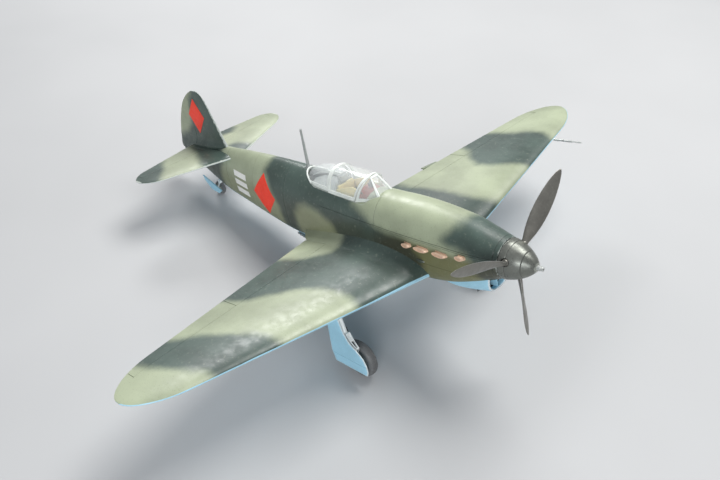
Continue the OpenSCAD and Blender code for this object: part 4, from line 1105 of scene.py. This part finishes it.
# deck under the windscreen, and the fillets that seat its feet on the skin
p = Parts()
S, V = mesh(np.linspace(55.7, 62.2, 16), np.linspace(-1, 1, 33))
Y = V * np.interp(S, [55.7, 56.4, 60, 62.2], [2.3, 3.2, 4.4, 4.75])
deck = np.stack([-S, Y, skin_z(S, Y) - 0.14], -1)
p.shell(deck, deck - np.array([0, 0, 0.35]), camo=hull_camo(S, deck[..., 2], -1))
for side in (1, -1):
    U, V = mesh(np.linspace(0, 1, 24), np.linspace(0, 1, 7))
    s = 56.8 + (FRONT - 56.9) * U
    foot_y, foot_z = 3.45 + (HW - 3.45) * U, 7.6 + (SILL + 0.04 - 7.6) * U
    y = foot_y - 0.25 + 1.15 * V
    k = (1 - V) ** 1.5
    z = (foot_z + 0.12) * k + (np.minimum(foot_z, skin_z(s, y)) - 0.2) * (1 - k)
    foot = np.stack([-s, y * side, z], -1)
    p.shell(foot, foot - np.array([0, side * 0.05, 0.3]), camo=hull_camo(s, z, side), wear=0.1)
p.done("windscreen_deck", [CAMO], slot="camouflage_paint", angle=50)

glass, bars = Parts(), Parts()
for side in (1, -1):
    u = np.linspace(0.03, 0.97, 20)
    v = np.linspace(0.0, 1, 24)
    lay(glass, screen_side(u, v, -0.1), screen_side(u, v, -0.42), side)
    for u, v in ((np.linspace(0, 0.09, 4), np.linspace(0, 1, 16)),
                 (np.linspace(0.9, 1, 4), np.linspace(0, 1, 24)),
                 (np.linspace(0, 1, 20), np.linspace(0, 0.1, 4)),
                 (np.linspace(0, 1, 16), np.linspace(0.93, 1, 4))):
        lay(bars, screen_side(u, v, 0.0), screen_side(u, v, -0.5), side, wear=0.3)


def quad_pane(p, c, inset, t_out, t_in, m=8, **kw):
    """Flat plate between four corners, drawn in by inset."""
    c = np.asarray(c, float)
    n = np.cross(c[1] - c[0], c[3] - c[0])
    n /= np.linalg.norm(n)
    mid = c.mean(0)
    c = c + (mid - c) * inset
    u, v = mesh(np.linspace(0, 1, m), np.linspace(0, 1, m))
    u, v = u[..., None], v[..., None]
    g = (1 - u) * (1 - v) * c[0] + u * (1 - v) * c[1] + u * v * c[2] + (1 - u) * v * c[3]
    p.shell(g + n * t_out, g + n * t_in, **kw)


fc = [A0 * [1, -1, 1], A0, A1, A1 * [1, -1, 1]]
quad_pane(glass, fc, 0.02, -0.08, -0.4)
c = np.array(fc)
for a, b in ((0, 1), (1, 2), (2, 3), (3, 0)):
    mid = c.mean(0)
    inn = [c[a] + (mid - c[a]) * 0.17, c[b] + (mid - c[b]) * 0.17]
    quad_pane(bars, [c[a], c[b], inn[1], inn[0]], 0.0, 0.0, -0.5, 6, wear=0.3)
# top of the windscreen between the two side panes
top = [A1 * [1, -1, 1], A1, screen_side(np.array([1.0]), np.array([1.0]), 0 * 1.0)[0, 0],
       screen_side(np.array([1.0]), np.array([1.0]), 0 * 1.0)[0, 0] * [1, -1, 1]]
quad_pane(glass, top, 0.02, -0.08, -0.4)
glass.done("windscreen_glass", [GLASS], slot="clear_canopy", replaces=["windscreen"], angle=30)
bars.done("windscreen_frame", [FRAME], slot="clear_canopy", angle=30)

# ---------------------------------------------------------------- mast, pitot tube
p = Parts()
z = np.linspace(8.9, 24.15, 24)
p.tube([[-96 + 0 * k, 0, k] for k in z], np.interp(z, [8.9, 24.2], [0.62, 0.36]), 28, wear=0.15)
p.tube([[-96, 0, 8.9], [-96, 0, 9.3], [-96, 0, 9.7], [-96, 0, 10.05]], [1.28, 1.1, 0.8, 0.62], 28, wear=0.5)
p.tube([[-96, 0, 23.2], [-96, 0, 23.3], [-96, 0, 23.5], [-96, 0, 23.6]], [0.4, 0.52, 0.52, 0.4], 24, wear=0.4)
p.done("mast", [MAST], slot="mast_grey", replaces=["antenna_mast"], angle=50)

a = np.array([-47.7, 81.3, -5.35])
d = np.array([math.sin(math.radians(84.5)), 0, math.cos(math.radians(84.5))])
p = Parts()
p.tube([a + d * k for k in (0, 0.5, 7.9, 8.2, 8.25, 11.9, 12.08)],
       [0.42, 0.42, 0.42, 0.36, 0.28, 0.28, 0.2], 24, wear=0.2)
p.tube([a + d * k for k in (0.8, 1.0, 1.6, 1.8)], [0.42, 0.5, 0.5, 0.42], 24, wear=0.4)
p.done("pitot", [METAL], slot="bare_light_metal", replaces=["pitot_tube"], angle=40)

# ---------------------------------------------------------------- undercarriage
LEG_TOP, LEG_END = np.array([-54.8, 33.0, -9.75]), np.array([-49.1, 33.0, -35.4])


def rings_about(mid, prof, q):
    """Rings about an axle through mid, from (radius, offset) points."""
    r, y = prof[:, :1], np.repeat(prof[:, 1:], len(q), 1)
    return np.stack([mid[0] + r * np.cos(q), mid[1] + y, mid[2] + r * np.sin(q)], -1)


def mirrored(half):
    """Closed rim outline from its half on one side of the wheel."""
    return np.array(half + [[a, -b] for a, b in half[::-1]])


def on_leg(t):
    return LEG_TOP + (LEG_END - LEG_TOP) * t


DOOR_LOW, DOOR_HIGH, DOOR_CREASE = -37.1, -12.5, -33.4
DOOR = np.array([[53.0, -12.5], [51.6, -18.3], [50.4, -23.0], [48.5, -26.3], [45.6, -28.3],
                 [43.2, -30.4], [42.1, -33.0], [41.9, -35.4], [42.5, -37.1], [57.1, -37.1],
                 [58.1, -32.9], [57.5, -22.1], [58.2, -12.5]])


def door_span(z):
    """Front and rear station of the door at height z."""
    front = DOOR[:9][::-1]
    back = DOOR[9:]
    return np.interp(z, front[:, 1], front[:, 0]), np.interp(z, back[:, 1], back[:, 0])


for side, word in ((1, "left"), (-1, "right")):
    p = Parts()
    z = knots(DOOR_LOW, DOOR_HIGH, 0.5, [DOOR_CREASE], 0.12)
    v = np.linspace(0, 1, 22)
    Z, V = mesh(z, v)
    a, b = door_span(Z)
    S = a + (b - a) * V
    edge = np.minimum(np.minimum(S - a, b - S), np.minimum(Z - DOOR_LOW, DOOR_HIGH - Z))
    crease = 0.12 * on(Z, DOOR_CREASE)
    y_out = 34.78 - 0.16 * np.exp(-edge / 0.25) - crease
    o = np.stack([-S, side * y_out, Z], -1)
    i = np.stack([-S, side * (34.3 + 0 * Z), Z], -1)
    p.shell(o, i, wear=np.clip(1.25 - edge / 0.42, 0, 1), line=np.clip(crease / 0.12, 0, 1) * 0.8)
    # raised stiffening frame on the inner face
    zi = np.linspace(-36.4, -13.4, 40)
    ai, bi = door_span(zi)
    for m in (0, 1):
        u = np.linspace(0, 0.7, 4)
        edge0 = (ai + 0.55) if m == 0 else (bi - 1.25)
        g = np.stack([np.stack([-(edge0 + k), side * (34.12 + 0 * zi), zi], -1) for k in u], 1)
        p.shell(g, g + np.array([0, side * 0.3, 0]), mat=1, wear=0.3)
    for zc in (-33.6, -28.2, -21.5, -15.6):
        af, bf = door_span(zc)
        p.box((-(bf - 1.3), min(side * 34.14, side * 34.4), zc - 0.3),
              (-(af + 1.2), max(side * 34.14, side * 34.4), zc + 0.3),
              mat=1, wear=0.3)
    p.done("door_" + word, [SKY, WHITE_EDGE], slot="sky_blue_paint", replaces=["gear_door_" + word], angle=40)

    # oleo leg with collars, clamps to the door and the axle
    m = np.array([1, side, 1])
    p = Parts()
    ks = [0, 0.02, 0.3, 0.31, 0.33, 0.34, 0.57, 0.58, 0.60, 0.605, 0.635, 0.64, 0.645, 0.97, 1.0]
    rs = [0.9, 0.95, 0.95, 1.08, 1.08, 0.95, 0.95, 1.1, 1.1, 1.0, 1.0, 0.9, 0.6, 0.6, 0.6]
    p.tube([on_leg(k) * m for k in ks], rs, 32, wear=0.15)
    e = LEG_END * m
    sgn = np.array([0, -side, 0])
    p.tube([e - sgn * 0.6, e - sgn * 0.5, e + sgn * 0.6, e + sgn * 0.7], [0.95, 1.05, 1.05, 0.95], 32,
           wear=0.3)
    p.tube([e, e + sgn * 4.6], 0.8, 32, wear=0.3)
    p.tube([e + sgn * 4.55, e + sgn * 4.6, e + sgn * 4.85, e + sgn * 4.9], [1.2, 1.3, 1.3, 1.2], 6, wear=0.5)
    p.tube([on_leg(0.5) * m + np.array([0.5, -side * 1.05, 0]),
            on_leg(0.9) * m + np.array([0.4, -side * 0.8, 0])], 0.17, 12,
           mat=1)
    p.done("leg_" + word, [STRUT, BLACK], slot="strut_silver", replaces=["main_leg_" + word], angle=40)

    p = Parts()
    for k0, k1 in ((0.56, 0.74), (0.93, 0.74)):
        a, b = (on_leg(k0) + [1.2, 0, 0]) * m, (on_leg(k1) + [3.6, 0, 0]) * m
        dirn = (b - a) / np.linalg.norm(b - a)
        up = np.cross(dirn, [0, 1, 0])
        T, Q = mesh(np.linspace(0.04, 0.52, 9), np.linspace(-0.7, 0.7, 7))
        web = a + (b - a) * T[..., None] + np.array([0, 1, 0]) * (Q * (1 - 0.4 * T))[..., None]
        web_in = 0.10 + 0.06 * np.cos(np.pi * Q / 0.7)[..., None]
        p.shell(web + up * web_in, web - up * web_in, wear=0.3)
        for q in (-0.75, 0.75):
            t = np.linspace(0, 1, 14)
            wd = 0.34 + 0.1 * np.cos(2 * np.pi * t)
            c = a + (b - a) * t[:, None] + np.array([0, q, 0]) * (1 - 0.4 * t[:, None])
            g = np.stack([c + up * w1 * wd[:, None] + np.array([0, w2 * 0.16, 0])
                          for w1, w2 in ((1, 1), (1, -1), (-1, -1), (-1, 1))], 1)
            p.add(g.reshape(-1, 3), capped(14, 4), 0, wear=0.3)
    for t, dx, hw, r in ((0.74, 3.6, 0.75, 0.4), (0.56, 1.35, 0.8, 0.35), (0.93, 1.1, 0.8, 0.35)):
        c = (on_leg(t) + [dx, 0, 0]) * m
        p.tube([c + [0, -hw, 0], c + [0, -hw + 0.08, 0], c + [0, hw - 0.08, 0], c + [0, hw, 0]],
               [r * 0.8, r, r, r * 0.8],
               20, wear=0.5)
    p.done("scissor_" + word, [STRUT], slot="strut_silver", replaces=["scissor_link_" + word], angle=40)

    # tyre with a grooved tread, wheel with a dished, spoked face
    mid = np.array([-MAIN_S, side * MAIN_Y, MAIN_Z])
    n = 144
    q = np.linspace(0, 2 * np.pi, n, endpoint=False)
    w = MAIN_W / 2
    prof = [[3.95, -1.32], [4.2, -1.5], [4.5, -w + 0.1], [4.85, -w + 0.02], [4.9, -w + 0.1],
            [4.98, -w + 0.1], [5.03, -w], [5.4, -w + 0.02], [5.8, -w + 0.18], [6.1, -w + 0.4],
            [6.3, -w + 0.62], [6.45, -w + 0.85]]
    tread = []
    for x0 in (-0.85, -0.5, -0.15, 0.15, 0.5, 0.85):
        r0 = MAIN_R - 0.02 - 0.12 * (abs(x0) / 0.85) ** 2
        tread += [[r0, x0 - 0.11], [r0 - 0.11, x0 - 0.06], [r0 - 0.11, x0 + 0.06], [r0, x0 + 0.11]]
    tread = [t for t in tread if abs(t[1]) < 0.97]
    prof = np.array(prof + tread + [[a, -b] for a, b in prof[::-1]])
    g = rings_about(mid, prof, q)
    dk = np.repeat(np.clip((prof[:, 0] > 6.3) * 0.4, 0, 1)[:, None], n, 1)
    p = Parts()
    p.add(g.reshape(-1, 3), quads(len(prof), n, True, True), 0, wear=dk.ravel())
    p.done("tyre_" + word, [TYRE], body="main_wheel_" + word, slot="tyre_dark_grey",
           replaces=["main_tyre_" + word],
           angle=25)

    prof = mirrored([[0.87, -1.5], [1.5, -1.5], [1.68, -1.42], [1.74, -1.25], [2.0, -0.98],
                     [2.3, -0.92], [2.9, -0.94], [3.15, -1.05], [3.35, -1.33], [3.5, -1.38],
                     [3.92, -1.38], [3.94, -1.2]])
    g = rings_about(mid, prof, q)
    dish = ((prof[:, 0] > 1.9) & (prof[:, 0] < 3.0))[:, None] * np.clip(np.cos(9 * q) * 3, 0, 1)
    g[..., 1] -= np.sign(prof[:, 1])[:, None] * 0.22 * dish
    p = Parts()
    rim = np.repeat((prof[:, 0] > 3.4)[:, None] * 0.5, n, 1)
    p.add(g.reshape(-1, 3), quads(len(prof), n, True, True), 0, wear=rim.ravel(), line=dish.ravel() * 0.7)
    for k in range(8):
        c = mid + np.array([1.15 * math.cos(k * math.pi / 4), 0, 1.15 * math.sin(k * math.pi / 4)])
        p.tube([c + [0, -1.62, 0], c + [0, 1.62, 0]], 0.13, 6, wear=0.4)
    p.done("wheel_" + word, [HUB], body="main_wheel_" + word, slot="wheel_green",
           replaces=["main_hub_" + word], angle=30)

mid = np.array([-TAIL_S, 0, TAIL_Z])
q = np.linspace(0, 2 * np.pi, 96, endpoint=False)
prof = mirrored([[0.57, -0.75], [1.2, -0.75], [1.3, -0.6], [1.4, -0.46], [1.8, -0.46], [1.9, -0.6],
                 [2.0, -0.8], [2.3, -0.8], [2.6, -0.8], [2.82, -0.6], [2.93, -0.35], [2.985, -0.12]])
g = rings_about(mid, prof, q)
f = quads(len(prof), 96, True, True)
fm = [1 if prof[i // 96, 0] < 1.95 else 0 for i in range((len(prof) - 1) * 96)] + [1] * 96
p = Parts()
p.add(g.reshape(-1, 3), f, 0, wear=0.1)
p.mat = fm
p.done("tail_tyre", [TYRE, HUB], body="tail_wheel", slot="tyre_dark_grey", replaces=["tail_wheel"], angle=30)

# ---------------------------------------------------------------- marks
def decal(grid_fn, n=26):
    """Thin raised mark on both sides. grid_fn(u, v, d, side) gives the point at height d."""
    p = Parts()
    for side in (1, -1):
        u, v = mesh(np.linspace(-1, 1, n), np.linspace(-1, 1, n))
        o = grid_fn(u, v, 0.07, side)
        i = grid_fn(u, v, -0.06, side)
        p.shell(o, i)
    return p


def on_hull(s, z, d, side):
    return np.stack([-s, side * (hull_side(s, z) + d), z], -1)


def lozenge(cs, cz, a, b):
    """Diamond of a by b centred at station cs and height cz."""
    def fn(u, v, d, side):
        return on_hull(cs + (u + v) / 2 * a, cz + (u - v) / 2 * b, d, side)
    return fn


decal(lozenge(117.0, -4.0, 6.9, 8.4)).done("side_emblems", [RED], slot="camouflage_paint", angle=60)


def fin_lozenge(u, v, d, side):
    s, z = 162.6 + (u + v) / 2 * 5.6, 17.2 + (u - v) / 2 * 7.4
    a, b = fin_edges(z)
    return np.stack([-s, side * (fin_half(z, np.clip((s - a) / (b - a), 0, 1)) + d + 0.05), z], -1)


decal(fin_lozenge).done("fin_emblems", [RED], slot="camouflage_paint", angle=60)
p = Parts()
for cz in (-7.6, -4.0, -0.4):
    def bar(u, v, d, side, cz=cz):
        return on_hull(133.4 + u * 4.3 + v * 0.1, cz + v * 1.15 + u * 0.15, d, side)
    one = decal(bar, 16)
    p.add(np.concatenate(one.v), one.f, 0)
p.done("side_stripes", [WHITE], slot="camouflage_paint", angle=60)

# rows of small fasteners along the cowl lines
p = Parts()
for side in (1, -1):
    for s in np.arange(13.5, 56.5, 3.3):
        z = line(GUIDE_A, s) + 0.75
        c = on_hull(s, z, 0.0, side)
        p.tube([c + [0, side * d, 0] for d in (-0.1, 0.035, 0.06)], [0.2, 0.2, 0.13], 10,
               camo=hull_camo(np.array(s), np.array(z), side), line=0.25, wear=0.35)
p.done("cowl_fasteners", [CAMO], slot="camouflage_paint", angle=50)

# ---------------------------------------------------------------- CAD pieces shown as they are
CARRIED = {
    "wing_lower": (SKY, 0.0), "belly_radiator": (SKY, 0.08), "radiator_core": (BLACK, 0.03),
    "radiator_flap": (METAL, 0.08), "cockpit_tub": (INTERIOR, 0.06), "pilot_seat": (CREAM, 0.12),
    "seat_armour": (INTERIOR, 0.1), "instrument_panel": (REDBROWN, 0.05),
    "control_stick": (BLACK, 0.04), "rudder_pedals": (INTERIOR, 0.05), "gunsight": (BLACK, 0.05),
    "side_console_left": (CREAM, 0.08), "side_console_right": (CREAM, 0.08),
    "rear_deck": (INTERIOR, 0.06), "aileron_tab": (CAMO, 0.05), "drag_strut_left": (STRUT, 0.06),
    "drag_strut_right": (STRUT, 0.06), "tail_leg": (STRUT, 0.05), "spinner_backplate": (SPINNER, 0.05),
    "prop_hub": (BLADE, 0.06), "prop_shaft": (GREY, 0.08), "shaft_bushing": (BRASS, 0.08),
    "nose_bulkhead": (INTERIOR, 0.08), "shaft_collar": (GREY, 0.06), "cannon_muzzle": (METAL, 0.04),
    "tail_door_left": (SKY, 0.06), "tail_door_right": (SKY, 0.06),
}
for name, (mat, w) in CARRIED.items():
    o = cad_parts[name]
    o.data.materials.clear()
    o.data.materials.append(mat)
    o.data.shade_smooth()
    o.data.set_sharp_from_angle(angle=math.radians(26 if name != "wing_lower" else 20))
    if w:
        bevel(o, w)

# ---------------------------------------------------------------- floor, light and camera
def stage_mesh():
    n = 40
    v = [(x, y, 0) for x in np.linspace(-6, 6, n) for y in np.linspace(-6, 6, n)]
    me = bpy.data.meshes.new("floor")
    me.from_pydata(v, [], quads(n, n, flip=True).tolist())
    o = bpy.data.objects.new("floor", me)
    bpy.context.scene.collection.objects.link(o)
    m, nt, bsdf = nodes_of("floor")
    co = add(nt, "ShaderNodeTexCoord").outputs["Object"]
    f = noise(nt, co, 6.0, 3.0)
    nt.links.new(mix(nt, ramp(nt, f, 0.3, 0.7), (0.42, 0.425, 0.43), (0.45, 0.455, 0.46)),
                 bsdf.inputs["Base Color"])
    bsdf.inputs["Roughness"].default_value = 0.7
    me.materials.append(m)


stage_mesh()

world = bpy.data.worlds.new("studio")
bpy.context.scene.world = world
world.use_nodes = True
world.node_tree.nodes["Background"].inputs["Color"].default_value = (0.92, 0.95, 1.0, 1)
world.node_tree.nodes["Background"].inputs["Strength"].default_value = 0.40


def softbox(name, loc, target, size, power, colour=(1, 1, 1)):
    d = bpy.data.lights.new(name, "AREA")
    d.shape = "RECTANGLE"
    d.size, d.size_y = size
    d.energy = power
    d.color = colour
    o = bpy.data.objects.new(name, d)
    o.location = loc
    o.rotation_euler = (Vector(target) - Vector(loc)).to_track_quat("-Z", "Y").to_euler()
    bpy.context.scene.collection.objects.link(o)


softbox("key", (0.05, 0.30, 0.62), (0.0, 0.0, 0.03), (0.45, 0.3), 4.8, (1.0, 0.99, 0.97))
softbox("side", (0.50, -0.55, 0.34), (0.03, 0.0, 0.03), (0.3, 0.3), 3.4, (0.95, 0.97, 1.0))
softbox("back", (-0.61, 0.35, 0.45), (0.0, 0.0, 0.03), (0.26, 0.15), 2.5, (1.0, 1.0, 1.0))

cam_data = bpy.data.cameras.new("camera")
cam = bpy.data.objects.new("camera", cam_data)
bpy.context.scene.collection.objects.link(cam)
bpy.context.scene.camera = cam
cam_data.sensor_width = 36
cam_data.lens = 39.19
cam_data.clip_start, cam_data.clip_end = 0.01, 50
eye = put([109.0, -152.6, 129.3])
back = -turn([-0.6595, 0.5462, -0.5165])
right = turn([0.7006, 0.6956, -0.1590])
back /= np.linalg.norm(back)
up = np.cross(back, right)
up /= np.linalg.norm(up)
right = np.cross(up, back)
cam.matrix_world = Matrix([[*r, 0] for r in np.stack([right, up, back], 1)] + [[0, 0, 0, 1]])
cam.location = eye
bpy.context.scene.view_settings.view_transform = "Standard"
